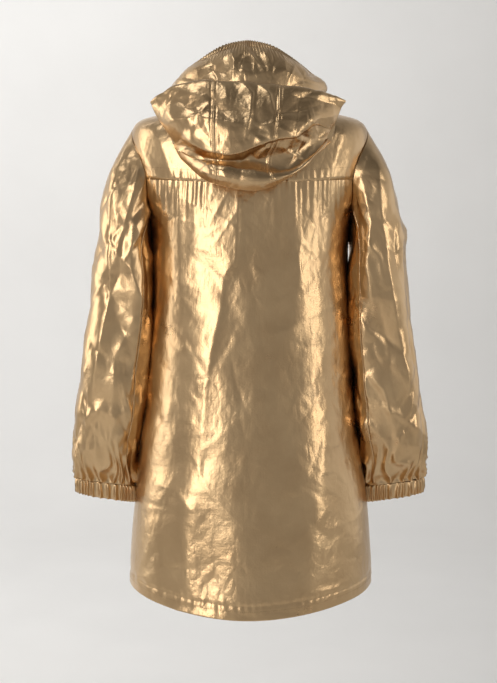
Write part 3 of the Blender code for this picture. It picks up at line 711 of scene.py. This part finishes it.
# --- Hood ------------------------------------------------------------------------------------
# A three-panel hood, pushed back: it lies on the back as a slack pouch with a tuck across it, and
# its front edge stands up round the neck as a brim, gathered on an elastic in a 9 mm casing.
# Each row of the net runs across the hood from the wearer's left wing tip to the right one.
HOOD_NET = (
    (
        (0.122, 0.018, 0.022), (0.106, 0.034, 0.024), (0.084, 0.050, 0.026),
        (0.052, 0.060, 0.027), (0.004, 0.064, 0.026), (-0.044, 0.061, 0.022),
        (-0.074, 0.052, 0.018), (-0.098, 0.034, 0.014), (-0.112, 0.010, 0.010),
    ),
    (
        (0.151, 0.050, 0.008), (0.126, 0.063, 0.024), (0.092, 0.072, 0.033),
        (0.055, 0.078, 0.034), (0.007, 0.080, 0.032), (-0.045, 0.079, 0.027),
        (-0.077, 0.074, 0.025), (-0.111, 0.065, 0.020), (-0.147, 0.050, 0.008),
    ),
    (
        (0.152, 0.050, -0.001), (0.127, 0.071, 0.002), (0.093, 0.087, 0.002),
        (0.055, 0.096, 0.003), (0.009, 0.100, 0.002), (-0.044, 0.098, 0.000),
        (-0.078, 0.090, -0.001), (-0.111, 0.075, -0.003), (-0.142, 0.050, -0.004),
    ),
    (
        (0.141, 0.050, -0.023), (0.121, 0.078, -0.024), (0.091, 0.099, -0.027),
        (0.055, 0.111, -0.030), (0.010, 0.116, -0.035), (-0.042, 0.113, -0.029),
        (-0.076, 0.103, -0.023), (-0.107, 0.083, -0.017), (-0.134, 0.050, -0.024),
    ),
    (
        (0.120, 0.050, -0.054), (0.105, 0.081, -0.051), (0.083, 0.106, -0.062),
        (0.054, 0.119, -0.072), (0.018, 0.124, -0.074), (-0.038, 0.120, -0.053),
        (-0.071, 0.109, -0.048), (-0.098, 0.087, -0.030), (-0.128, 0.050, -0.036),
    ),
    (
        (0.119, 0.050, -0.056), (0.104, 0.077, -0.054), (0.082, 0.098, -0.065),
        (0.054, 0.110, -0.075), (0.016, 0.114, -0.077), (-0.038, 0.111, -0.057),
        (-0.072, 0.101, -0.051), (-0.098, 0.082, -0.033), (-0.127, 0.050, -0.039),
    ),
    (
        (0.118, 0.050, -0.059), (0.100, 0.072, -0.068), (0.076, 0.089, -0.078),
        (0.053, 0.098, -0.085), (0.015, 0.102, -0.087), (-0.028, 0.099, -0.082),
        (-0.066, 0.092, -0.073), (-0.095, 0.076, -0.056), (-0.125, 0.050, -0.046),
    ),
    (
        (0.117, 0.050, -0.066), (0.097, 0.076, -0.082), (0.071, 0.096, -0.090),
        (0.051, 0.108, -0.096), (0.013, 0.112, -0.102), (-0.028, 0.109, -0.105),
        (-0.070, 0.100, -0.099), (-0.103, 0.081, -0.073), (-0.122, 0.050, -0.052),
    ),
    (
        (0.116, 0.050, -0.065), (0.096, 0.083, -0.079), (0.071, 0.108, -0.087),
        (0.051, 0.123, -0.094), (0.013, 0.128, -0.099), (-0.030, 0.124, -0.103),
        (-0.071, 0.112, -0.096), (-0.106, 0.089, -0.069), (-0.123, 0.050, -0.050),
    ),
    (
        (0.114, 0.050, -0.071), (0.093, 0.086, -0.090), (0.069, 0.115, -0.102),
        (0.051, 0.130, -0.109), (0.006, 0.136, -0.117), (-0.035, 0.132, -0.115),
        (-0.071, 0.119, -0.103), (-0.105, 0.093, -0.073), (-0.125, 0.050, -0.053),
    ),
    (
        (0.112, 0.050, -0.075), (0.092, 0.080, -0.096), (0.070, 0.104, -0.114),
        (0.051, 0.117, -0.121), (0.000, 0.122, -0.131), (-0.038, 0.118, -0.122),
        (-0.069, 0.108, -0.105), (-0.101, 0.086, -0.077), (-0.126, 0.050, -0.055),
    ),
)
HOOD_INNER = (
    (
        (0.112, 0.048, -0.074), (0.092, 0.070, -0.092), (0.070, 0.086, -0.110),
        (0.051, 0.095, -0.117), (0.000, 0.098, -0.126), (-0.038, 0.096, -0.118),
        (-0.069, 0.088, -0.102), (-0.101, 0.070, -0.074), (-0.126, 0.048, -0.054),
    ),
    (
        (0.128, 0.046, -0.030), (0.100, 0.058, -0.040), (0.072, 0.070, -0.056),
        (0.050, 0.075, -0.060), (0.000, 0.077, -0.062), (-0.038, 0.076, -0.060),
        (-0.070, 0.071, -0.052), (-0.102, 0.058, -0.034), (-0.132, 0.046, -0.024),
    ),
    (
        (0.110, 0.010, 0.008), (0.094, 0.024, 0.006), (0.072, 0.038, 0.006),
        (0.048, 0.046, 0.006), (0.000, 0.050, 0.004), (-0.046, 0.046, 0.006),
        (-0.072, 0.038, 0.006), (-0.094, 0.022, 0.006), (-0.106, 0.004, 0.004),
    ),
    (
        (0.077, -0.040, 0.016), (0.070, -0.018, 0.014), (0.056, -0.005, 0.014),
        (0.038, 0.006, 0.014), (0.000, 0.014, 0.014), (-0.038, 0.006, 0.014),
        (-0.056, -0.005, 0.014), (-0.070, -0.018, 0.014), (-0.077, -0.040, 0.016),
    ),
)


def hood_patch(net, u, v):
    """A point of a net of places: v counts its rows down and u its columns across, both smooth."""
    across = through(np.moveaxis(np.asarray(net), 1, 0), u)
    i = np.clip(v.astype(int), 0, len(net) - 2)
    f = (v - i)[..., None]

    def row(k):
        return np.take_along_axis(across, np.clip(i + k, 0, len(net) - 1)[..., None, None], -2)[..., 0, :]

    a, b, c, d = row(-1), row(0), row(1), row(2)
    return b + 0.5 * f * (c - a + f * (2 * a - 5 * b + 4 * c - d + f * (3 * b - 3 * c + d - a)))


def hood_folds(x, z):
    """Folds and puckers of the hood's outer layer, in millimetres."""
    total = crumple(x, z, 41, 50, ((-140, 140), (-120, 30)), (14, 60), (0.3, 1.3), 4)
    total += facets(x, z, 43, 52, 0.11, 1.0, 0.6) + facets(x, z, 44, 20, 0.03, 1.2, -0.4)
    total += crumple(x, z, 42, 12, ((-130, 130), (-70, 20)), (40, 80), (1.0, 2.6), 9)
    return total + creases(x, z, (
        (4.5, 3.0, 1.2, 0.3, (14, 32), (-4, 14), (-1, -18), (8, -60)),
        (4.0, 2.6, 1.2, 0.3, (-12, 32), (-30, 12), (-40, -24)),
        (4.0, 2.4, 1.2, 0.0, (96, -28), (72, -12), (60, 2)),
        (5.0, -3.0, 1.2, 0.0, (-32, -56), (-12, -72), (16, -90)),
        (5.0, 2.5, 1.2, 0.0, (-2, -44), (-24, -66), (-10, -84)),
        (5.0, -2.0, 1.3, 0.0, (-52, 14), (-90, 10), (-138, 0)),
        (8.0, 3.5, 1.4, 0.0, (132, -8), (112, -24), (74, -22)),
        (4.0, 3.0, 1.2, 0.0, (-46, -60), (-66, -80), (-56, -98)),
        (4.0, 2.5, 1.2, 0.0, (-80, -50), (-70, -74), (-86, -88)),
    ))


def seam_line(x, z, middle, gap=3.2):
    """A lapped seam with two rows of stitching: a low step between two fine grooves."""
    d = np.abs(x - middle)
    return -0.7 * np.exp(-(((d - gap) / 1.1) ** 2)) + 0.5 * np.exp(-((d / 2.0) ** 2))


def hood_outer(first, last, columns):
    u = np.linspace(first, last, columns)[None] + np.zeros((190, 1))
    v = np.linspace(0, len(HOOD_NET) - 1, 190)[:, None] + 0 * u
    points = hood_patch(HOOD_NET, u, v)
    x, _, z = np.moveaxis(points, -1, 0) * 1000
    out = hood_folds(x, z) + seam_line(u * 40, z, 120) + seam_line(u * 40, z, 200)
    edge = np.clip(u / 0.5, 0, 1) * np.clip((8 - u) / 0.5, 0, 1) * np.clip(v / 0.4, 0, 1)
    return points + normals(points) * (out * edge / 1000)[..., None]


def hood_inner(first, last, columns):
    u = np.linspace(first, last, columns)[None] + np.zeros((60, 1))
    v = np.linspace(0, len(HOOD_INNER), 60)[:, None] + 0 * u
    return hood_patch((HOOD_NET[-1], *HOOD_INNER), u, v)


for name, first, last, columns, flat, area, inner, inner_area in (
    ("left", 0, 3, 70, (0.16, 0.20), 0.019, (0.14, 0.15), 0.0135),
    ("center", 3, 5, 64, (0.10, 0.24), 0.022, (0.10, 0.20), 0.018),
    ("right", 5, 8, 70, (0.16, 0.20), 0.020, (0.14, 0.15), 0.0148),
):
    panel = cloth(f"hood_{name}_panel_cloth", hood_outer(first, last, columns), flat, area)
    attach(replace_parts(panel, f"hood_{name}_panel"), "hood")
    lining = cloth(f"hood_{name}_inner_cloth", hood_inner(first, last, columns // 2), inner, inner_area)
    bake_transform(lining)

# The brim every 30 degrees from the centre back: radius and height of its foot, then of its edge.
BRIM = (
    (0.118, 0.023, 0.067, 0.103),
    (0.122, 0.022, 0.080, 0.094),
    (0.128, 0.020, 0.098, 0.067),
    (0.112, 0.016, 0.116, 0.038),
    (0.092, 0.000, 0.118, 0.010),
    (0.090, -0.038, 0.107, -0.018),
    (0.0935, -0.056, 0.096, -0.042),
)


def brim(angle, v):
    """A point of the hood's brim: v is 0 on the seam at its foot and 1 on its free edge."""
    foot_r, foot_z, edge_r, edge_z = np.moveaxis(through(BRIM, np.abs(angle) / math.radians(30)), -1, 0)
    r = foot_r + (edge_r - foot_r) * v + 0.009 * np.sin(np.pi * v)
    return np.stack([r * np.sin(angle) + 0.004 * v, MIDDLE + r * np.cos(angle), foot_z + (edge_z - foot_z) * v], -1)


def brim_part(low, high, rows, inside):
    """The brim between two heights, with its gathered edge, creases and casing."""
    angle = np.linspace(math.radians(174), math.radians(-174), 900)[None] + np.zeros((rows, 1))
    v = np.linspace(high, low, rows)[:, None] + 0 * angle
    points = brim(angle, v)
    arc = angle * 110
    phase = arc * 2 * np.pi / 5.4 + 1.6 * np.sin(arc / 15) + np.sin(arc / 6.1)
    gather = np.exp(-np.clip(0.93 - v, 0, None) / 0.10)
    x, _, z = np.moveaxis(points, -1, 0) * 1000
    out = 0.75 * np.sin(phase) * gather
    out -= 0.9 * np.exp(-(((v - 0.885) / 0.014) ** 2))
    out += 2.0 * np.sin(arc / 13 + 1.3 * np.sin(arc / 23)) * np.sin(np.pi * v) ** 0.7 * (v < 1)
    calm = np.sin(np.pi * np.clip(v, 0.02, 0.95))
    out += calm * crumple(x, z, 51, 40, ((-130, 130), (20, 105)), (16, 60), (0.5, 2.0), 5)
    out += calm * facets(x, z, 52, 46, 0.2, 1.0, 0.5)
    out += calm * crease(x, z, 5, 4.0, 1.2, 0.4, (10, 100), (0, 80), (-24, 52))
    out += calm * crease(x, z, 6, -3.5, 1.3, 0.0, (62, 62), (52, 44), (48, 28))
    out += calm * crease(x, z, 7, 4.0, 1.4, 0.0, (34, 92), (24, 66), (28, 30))
    return points + normals(points) * ((out - inside) / 1000)[..., None]


band = cloth("hood_brim_cloth", brim_part(0.0, 1.0, 44, 0), (0.60, 0.068), 0.036, held="gathered")
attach(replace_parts(band, "hood_brim"), "hood")
casing = cloth("hood_edge_facing_cloth", brim_part(0.87, 0.998, 8, 2.4), (0.60, 0.010), held="gathered")
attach(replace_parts(casing, "hood_edge_facing"), "hood")
gathering = grid_object("hood_edge_elastic_band", brim_part(0.90, 0.97, 4, 1.3), (elastic,))
shell = gathering.modifiers.new("thickness", "SOLIDIFY")
shell.thickness, shell.offset = 0.0006, -1
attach(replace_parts(gathering, "hood_edge_elastic"), "hood")

for name, u in (("left_a", 2.92), ("left_b", 3.08), ("right_a", 4.92), ("right_b", 5.08)):
    points = hood_outer(u - 0.04, u + 0.04, 3)
    sewn(f"hood_seam_stitches_{name}", points[8:, 1], normals(points)[8:, 1], "hood")
points = brim_part(0.0, 1.0, 44, 0)
row = int(round(43 * (1 - 0.885)))
sewn("hood_casing_stitches", points[row], normals(points)[row], "hood")
sewn("hood_brim_foot_stitches", points[-3], normals(points)[-3], "hood")

# --- Zip -------------------------------------------------------------------------------------
# An open-end coil zip down the straight centre front: woven tapes, a nylon coil on each, die-cast
# end parts and slider, and a strip of the same cloth behind it that keeps the wind out.
ZIP_TOP, ZIP_BOTTOM = -0.064, -0.772
LEAN = math.atan(FRONT_LEAN)
LENGTH = (ZIP_TOP - ZIP_BOTTOM) / math.cos(LEAN)
TAPE_END = 0.0085 - LENGTH


def on_zip(x, y, z):
    """Places in the zip's own frame, X across, -Y out of the coat and Z up along it, as coat places."""
    x, y, z = np.broadcast_arrays(x, y, z)
    up = np.stack([x, y * math.cos(LEAN) + z * math.sin(LEAN), z * math.cos(LEAN) - y * math.sin(LEAN)], -1)
    return up + (0, MIDDLE - centre_depth(ZIP_TOP), ZIP_TOP)


def swept(name, path, radius, finish, sides=6):
    """A round wire along a path: a circle carried square to it, closed at both ends."""
    ahead = np.gradient(path, axis=0)
    ahead /= np.linalg.norm(ahead, axis=1, keepdims=True)
    side = np.cross(ahead, (0.31, 0.2, 0.93))
    side /= np.linalg.norm(side, axis=1, keepdims=True)
    turn = np.linspace(0, -2 * np.pi, sides, endpoint=False)[None, :, None]
    size = np.r_[0.01, np.ones(len(path) - 2), 0.01][:, None, None] * radius
    ring = np.cos(turn) * side[:, None] + np.sin(turn) * np.cross(ahead, side)[:, None]
    return grid_object(name, path[:, None] + size * ring, [finish], ring=True)


def rounded(name, centre, half, finish, power=0.35, taper=0.0, place=on_zip):
    """A rounded block: a superellipsoid of half sizes across, deep and tall; taper narrows its foot."""
    turn = np.linspace(0, 2 * np.pi, 40, endpoint=False)[None]
    rise = np.linspace(0.001, np.pi - 0.001, 24)[:, None]
    tall = signed_power(np.cos(rise), power) + 0 * turn
    belly = signed_power(np.sin(rise), power)
    x = centre[0] + half[0] * belly * signed_power(np.cos(turn), power) * (1 + taper * tall)
    y = centre[1] + half[1] * belly * signed_power(np.sin(turn), power)
    return grid_object(name, place(x, y, centre[2] + half[2] * tall), [finish], ring=True)


# Nylon monofilament, smooth and slightly clear, dyed to match.
nylon, tree, shader = shader_of("nylon_monofilament")
place = node(tree, "ShaderNodeTexCoord").outputs["Object"]
dye = node(tree, "ShaderNodeTexNoise", {"Vector": place}, {"Scale": 300, "Detail": 2})
colour = ramp(tree, dye.outputs["Fac"], (0.2, linear("8c6e44")), (0.8, linear("a3845a")))
dress(tree, shader, colour, Roughness=0.32, IOR=1.53)

# Die-cast zinc alloy, tumbled and plated in pale gold, with a fine cast grain left on it.
zinc, tree, shader = shader_of("plated_zinc_alloy")
place = node(tree, "ShaderNodeTexCoord").outputs["Object"]
grain = node(tree, "ShaderNodeTexNoise", {"Vector": place}, {"Scale": 1400, "Detail": 3})
smear = node(tree, "ShaderNodeTexNoise", {"Vector": place}, {"Scale": 160, "Detail": 3})
polish = node(tree, "ShaderNodeMapRange", {"Value": smear.outputs["Fac"]}, {"To Min": 0.16, "To Max": 0.34})
tree.links.new(polish.outputs["Result"], shader.inputs["Roughness"])
bump = node(tree, "ShaderNodeBump", {"Height": grain.outputs["Fac"]}, {"Strength": 0.25, "Distance": 0.0001})
colour = ramp(tree, smear.outputs["Fac"], (0.2, linear("c9a66c")), (0.8, linear("dcc08c")))
dress(tree, shader, colour, bump, Metallic=1.0)

for side, sign in (("left", 1), ("right", -1)):
    z = np.linspace(0, TAPE_END, 200)[:, None]
    x = np.linspace(0.0028, 0.0128, 9)[None]
    wave = 0.00015 * np.sin(z * 140) * (x - 0.0028) / 0.01
    woven = cloth(
        f"zip_tape_{side}_weave",
        on_zip(x, wave - 0.0003, z),
        (0.010, 0.72),
        wall=0.0005,
        finishes=(tape,),
        mirror=sign < 0,
    )
    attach(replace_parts(woven, f"zip_tape_{side}"), "coat")
    turns = int((-0.0030 - TAPE_END) / 0.00135)
    a = np.linspace(0, 2 * np.pi * turns, turns * 8 + 1) + (0 if sign > 0 else np.pi)
    path = on_zip(sign * (0.00152 + 0.00075 * np.cos(a)), 0.0008 * np.sin(a), -0.0030 - 0.00135 * a / (2 * np.pi))
    wire = swept(f"zip_coil_{side}_wire", path, 0.00030, nylon, 5)
    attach(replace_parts(wire, f"zip_coil_{side}"), "coat")
    stop = rounded(f"zip_top_stop_{side}_clip", (sign * 0.0016, 0, -0.0014), (0.0010, 0.0013, 0.0012), zinc)
    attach(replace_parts(stop, f"zip_top_stop_{side}"), "coat")
    pin = "zip_insertion_pin" if sign < 0 else "zip_box_pin"
    foot = (sign * 0.00135, 0, (TAPE_END - LENGTH + 0.001) / 2)
    rod = rounded(f"{pin}_rod", foot, (0.0008, 0.0007, 0.0034), zinc, 0.3)
    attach(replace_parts(rod, pin), "coat")
foot = (0, 0, (TAPE_END - 0.0012 - LENGTH) / 2)
box = rounded("zip_retainer_box_shell", foot, (0.0042, 0.0018, 0.00365), zinc, 0.22)
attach(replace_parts(box, "zip_retainer_box"), "coat")

# The slider: a front and a back plate joined by a post, with a bridge that holds the pull.
plate = rounded("zip_slider_front_plate", (0, -0.0023, -0.00975), (0.0040, 0.0007, 0.0052), zinc, 0.4, 0.16)
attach(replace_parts(plate, "zip_slider"), "zip_slider")
for name, centre, half, power in (
    ("zip_slider_back_plate", (0, 0.0021, -0.00975), (0.0039, 0.0006, 0.0052), 0.4),
    ("zip_slider_post", (0, 0, -0.0056), (0.0004, 0.0022, 0.0010), 0.3),
):
    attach(rounded(name, centre, half, zinc, power), "zip_slider")
a = np.linspace(-0.1, np.pi + 0.1, 24)
arch = on_zip(0 * a, -0.0024 - 0.0030 * np.sin(a), -0.0092 + 0.0028 * np.cos(a))
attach(swept("zip_slider_bridge", arch, 0.00055, zinc, 8), "zip_slider")

# The pull: a flat die-cast tab with a hole at its end and an eye that hangs on the bridge.
u = np.linspace(0, 2 * np.pi, 64, endpoint=False)[None]
v = np.linspace(0, 2 * np.pi, 20, endpoint=False)[:, None]


def tab(name, outer, hole, middle, hole_middle, y, thick):
    """A plate with a hole: its section runs round from the outer outline to the hole's outline."""
    share = 0.5 + 0.5 * signed_power(np.cos(v), 0.3)
    ox, oz = outer[0] * signed_power(np.cos(u), 0.6), middle + outer[1] * signed_power(np.sin(u), 0.6)
    hx, hz = hole[0] * np.cos(u), hole_middle + hole[1] * np.sin(u)
    x, z = hx + (ox - hx) * share, hz + (oz - hz) * share
    return grid_object(name, on_zip(x, y - thick * signed_power(np.sin(v), 0.4) + 0 * u, z), [zinc], ring=True)


def closed_ring(item):
    """Joins the last row of a tube back to its first, for a ring that closes both ways."""
    mesh = item.data
    rows, columns = 20, 64
    last, first = (rows - 1) * columns + np.arange(columns), np.arange(columns)
    faces = [tuple(p.vertices) for p in mesh.polygons]
    faces += [(int(last[k]), int(first[k]), int(first[k - 1]), int(last[k - 1])) for k in range(columns)]
    points = [tuple(p.co) for p in mesh.vertices]
    finishes = list(mesh.materials)
    mesh.clear_geometry()
    mesh.from_pydata(points, [], faces)
    mesh.materials.clear()
    mesh.materials.append(finishes[0])
    mesh.shade_smooth()
    return item


pull = closed_ring(tab("zip_pull_tab", (0.0034, 0.0125), (0.0017, 0.0024), -0.0274, -0.0352, -0.0042, 0.0006))
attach(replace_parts(pull, "zip_pull"), "zip_pull")
eyelet = closed_ring(tab("zip_pull_eye", (0.0024, 0.0042), (0.0013, 0.0020), -0.0118, -0.0112, -0.0042, 0.0005))
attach(eyelet, "zip_pull")

x = np.linspace(-0.020, 0.020, 24)[None]
z = np.linspace(-0.006, TAPE_END, 180)[:, None]
points = on_zip(x, 0.0056 + 0.0006 * np.sin(z * 60 + 2 * np.sin(z * 21)) * np.cos(x * 70) + 0 * x, z)
guard = cloth("zip_guard_cloth", points, (0.040, 0.71), wall=0.0010)
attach(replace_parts(guard, "zip_guard"), "coat")

# --- Pockets ---------------------------------------------------------------------------------
# Two slit pockets in the fronts: a thin lining bag inside, and a two-layer flap of the coat's cloth
# sewn above the slit, held shut by two ring snaps.

# Polyester lawn, a thin plain-woven lining, matt and a shade darker than the coat.
lawn, tree, shader = shader_of("polyester_lawn_lining")
weave = plain_weave(tree, 120)
bump = node(tree, "ShaderNodeBump", {"Height": weave}, {"Strength": 0.4, "Distance": 0.0002})
colour = ramp(tree, weave, (0.0, linear("7d6a4a")), (1.0, linear("93805c")))
dress(tree, shader, colour, bump, Roughness=0.75)

FLAP_NEAR, FLAP_FAR = math.radians(163), math.radians(113)
FLAP_TOP, FLAP_BOTTOM = 5.20, 5.48
SNAP_STUD = (
    (0.0012, 0), (0.0012, 0.0046), (0.0019, 0.0048), (0.0021, 0.0040),
    (0.0021, 0.0019), (0.0034, 0.0018), (0.0035, 0.0014), (0.0035, 0),
)
SNAP_CAP = (
    (0.0040, 0), (0.0040, 0.0021), (0.0026, 0.0023), (0.0025, 0.0046), (0.0042, 0.0048),
    (0.0044, 0.0019), (0.0066, 0.0019), (0.0067, 0.0056), (0.0071, 0.0058), (0.0077, 0.0053),
    (0.0079, 0.0044), (0.0076, 0.0036), (0.0078, 0.0018), (0.0080, 0),
)


def lathe(name, base, outward, profile, finish):
    """A turned part: rings of (distance outwards, radius) about a line out of the front."""
    across = np.cross((0, 0, 1.0), outward)
    across /= np.linalg.norm(across)
    up = np.cross(outward, across)
    turn = np.linspace(0, 2 * np.pi, 40, endpoint=False)[None, :, None]
    along, radius = np.array(profile).T[:, :, None, None]
    ring = np.cos(turn) * across + np.sin(turn) * up
    return grid_object(name, base + along * outward + np.maximum(radius, 1e-5) * ring, [finish], ring=True)


for side, mirror in (("left", False), ("right", True)):
    flip = np.array((-1, 1, 1)) if mirror else np.array((1, 1, 1))
    p, q = np.meshgrid(np.linspace(0, 1, 44), np.linspace(0, 1, 150), indexing="ij")
    corner = np.clip(1 - np.minimum(q, 1 - q) / 0.10, 0, 1)
    drop = p * (1 - 0.16 * (1 - np.sqrt(1 - corner**2)))
    t = FLAP_TOP + (FLAP_BOTTOM - FLAP_TOP) * drop
    angle = FLAP_NEAR + (FLAP_FAR - FLAP_NEAR) * q
    stand = 0.0008 + 0.0048 * np.sin(np.clip(p / 0.22, 0, 1) * np.pi / 2)
    rim = np.minimum(np.minimum(1 - p, 1.0), np.minimum(q, 1 - q) * 3)
    stand = stand - 0.0004 * np.exp(-(((rim - 0.10) / 0.02) ** 2)) + 0.0003 * np.sin(q * 47 + 3 * p)
    points = body(angle, t, stand)
    flap = cloth(f"{side}_pocket_flap_cloth", points, (0.135, 0.062), wall=0.0010, mirror=mirror)
    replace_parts(flap, f"{side}_pocket_flap")
    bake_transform(flap)
    edge = np.concatenate([points[4:39, 6], points[39, 7:-7], points[38:3:-1, -7]])
    away = normals(points)
    away = np.concatenate([away[4:39, 6], away[39, 7:-7], away[38:3:-1, -7]])
    sewn(f"{side}_pocket_flap_stitches", edge, away, f"{side}_pocket_flap", mirror)
    for spot, share in (("inner", 0.14), ("outer", 0.86)):
        angle = FLAP_NEAR + (FLAP_FAR - FLAP_NEAR) * share
        t = FLAP_TOP + (FLAP_BOTTOM - FLAP_TOP) * 0.74
        near = body(angle + np.array(((0, 0), (0, 1e-4))), t + np.array(((0, 1e-4), (0, 0))))
        base = near[0, 0] * flip
        outward = np.cross(near[0, 1] - near[0, 0], near[0, 0] - near[1, 1]) * flip
        outward /= np.linalg.norm(outward)
        stud = lathe(f"{side}_pocket_snap_stud_{spot}_socket", base, outward, SNAP_STUD, zinc)
        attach(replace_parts(stud, f"{side}_pocket_snap_stud_{spot}"), "coat")
        cap = lathe(f"{side}_pocket_snap_cap_{spot}_dome", base, outward, SNAP_CAP, zinc)
        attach(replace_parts(cap, f"{side}_pocket_snap_cap_{spot}"), f"{side}_pocket_flap")
    down = np.linspace(5.225, 5.95, 40)
    layers = np.r_[down, down[::-1]]
    depth = np.r_[np.full(40, -0.0026), np.full(40, -0.0048)] - 0.0004 * np.sin(np.linspace(0, 9, 80))
    q = np.linspace(0, 1, 50)[None]
    angle = FLAP_NEAR - 0.02 + (FLAP_FAR - FLAP_NEAR + 0.04) * q + 0 * layers[:, None]
    points = body(angle, layers[:, None] + 0 * angle, depth[:, None] + 0.0003 * np.sin(q * 31))
    bag = cloth(
        f"{side}_pocket_bag_lining", points, (0.13, 0.29), wall=0.0004, finishes=(lawn,), held="folded", mirror=mirror
    )
    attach(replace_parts(bag, f"{side}_pocket_bag"), "coat")

# --- Studio ----------------------------------------------------------------------------------
# Pale paper backdrop that sweeps down into the floor, lit by tall soft boxes at both sides.
paper, tree, shader = shader_of("backdrop_paper")
place = node(tree, "ShaderNodeTexCoord").outputs["Object"]
grain = node(tree, "ShaderNodeTexNoise", {"Vector": place}, {"Scale": 3, "Detail": 2})
colour = ramp(tree, grain.outputs["Fac"], (0.2, linear("edecea")), (0.8, linear("f1f0ee")))
dress(tree, shader, colour, Roughness=0.9)
turn = np.linspace(0, 1, 60)
bend = np.clip((turn - 0.35) / 0.3, 0, 1) * np.pi / 2
flat = np.clip(turn / 0.35, 0, 1)
tall = np.clip((turn - 0.65) / 0.35, 0, 1)
sweep_y = 3.5 - 6.5 * flat - 1.2 * np.sin(bend)
sweep_z = -1.45 + 1.2 * (1 - np.cos(bend)) + 3.2 * tall
across = np.linspace(-4.5, 4.5, 20)
points = np.stack(
    [across[None] + 0 * turn[:, None], sweep_y[:, None] + 0 * across, sweep_z[:, None] + 0 * across], -1
)
grid_object("backdrop", points, [paper])


def soft_box(name, place, target, size, power, colour):
    """A rectangular area light at a place, aimed at a target."""
    light = bpy.data.lights.new(name, "AREA")
    light.shape = "RECTANGLE"
    light.size, light.size_y = size
    light.energy = power
    light.color = linear(colour)[:3]
    item = bpy.data.objects.new(name, light)
    bpy.context.scene.collection.objects.link(item)
    item.location = place
    ahead = np.subtract(target, place)
    ahead = ahead / np.linalg.norm(ahead)
    item.rotation_euler = (math.acos(-ahead[2]), 0, math.atan2(-ahead[0], ahead[1]))
    return item


soft_box("key_box", (1.46, 2.22, 0.25), (0, 0, -0.3), (0.75, 2.2), 22, "fffaf4")
soft_box("fill_box", (-2.3, 1.35, 0.2), (0, 0, -0.3), (0.5, 2.0), 10, "fffaf2")
soft_box("side_box", (2.4, -0.2, 0.3), (0, 0, -0.2), (1.0, 2.2), 15, "fffaf2")
soft_box("top_box", (0.9, 0.7, 2.2), (0, -0.1, -0.1), (1.0, 0.8), 8, "ffffff")
soft_box("wall_box", (1.6, -1.2, 1.6), (0.7, -4.0, 0.2), (2.5, 2.0), 76, "ffffff")

world = bpy.data.worlds.new("studio_air")
bpy.context.scene.world = world
world.use_nodes = True
tree = world.node_tree
ray = node(tree, "ShaderNodeLightPath").outputs["Is Camera Ray"]
around = node(tree, "ShaderNodeTexCoord").outputs["Generated"]
parts = node(tree, "ShaderNodeSeparateXYZ", {"Vector": around})
height = node(tree, "ShaderNodeMapRange", {"Value": parts.outputs["Y"]}, {"From Min": -1, "From Max": 1})
room = ramp(
    tree,
    height.outputs["Result"],
    (0.0, (0.85, 0.85, 0.85, 1)),
    (0.5, (0.62, 0.61, 0.60, 1)),
    (0.64, (0.31, 0.30, 0.29, 1)),
    (1.0, (0.30, 0.295, 0.29, 1)),
)
dimming = {"From Min": 0.15, "From Max": 0.9, "To Min": 1, "To Max": 0.3}
ceiling = node(tree, "ShaderNodeMapRange", {"Value": parts.outputs["Z"]}, dimming)
room = node(tree, "ShaderNodeVectorMath", {0: room, "Scale": ceiling.outputs["Result"]}, operation="SCALE")
links = {"Factor": ray, "A": room.outputs["Vector"]}
tint = node(tree, "ShaderNodeMix", links, {"B": linear("eeeeec")}, data_type="RGBA")
tree.links.new(tint.outputs["Result"], tree.nodes["Background"].inputs["Color"])
tree.nodes["Background"].inputs["Strength"].default_value = 1.1
bpy.context.scene.view_settings.view_transform = "Standard"
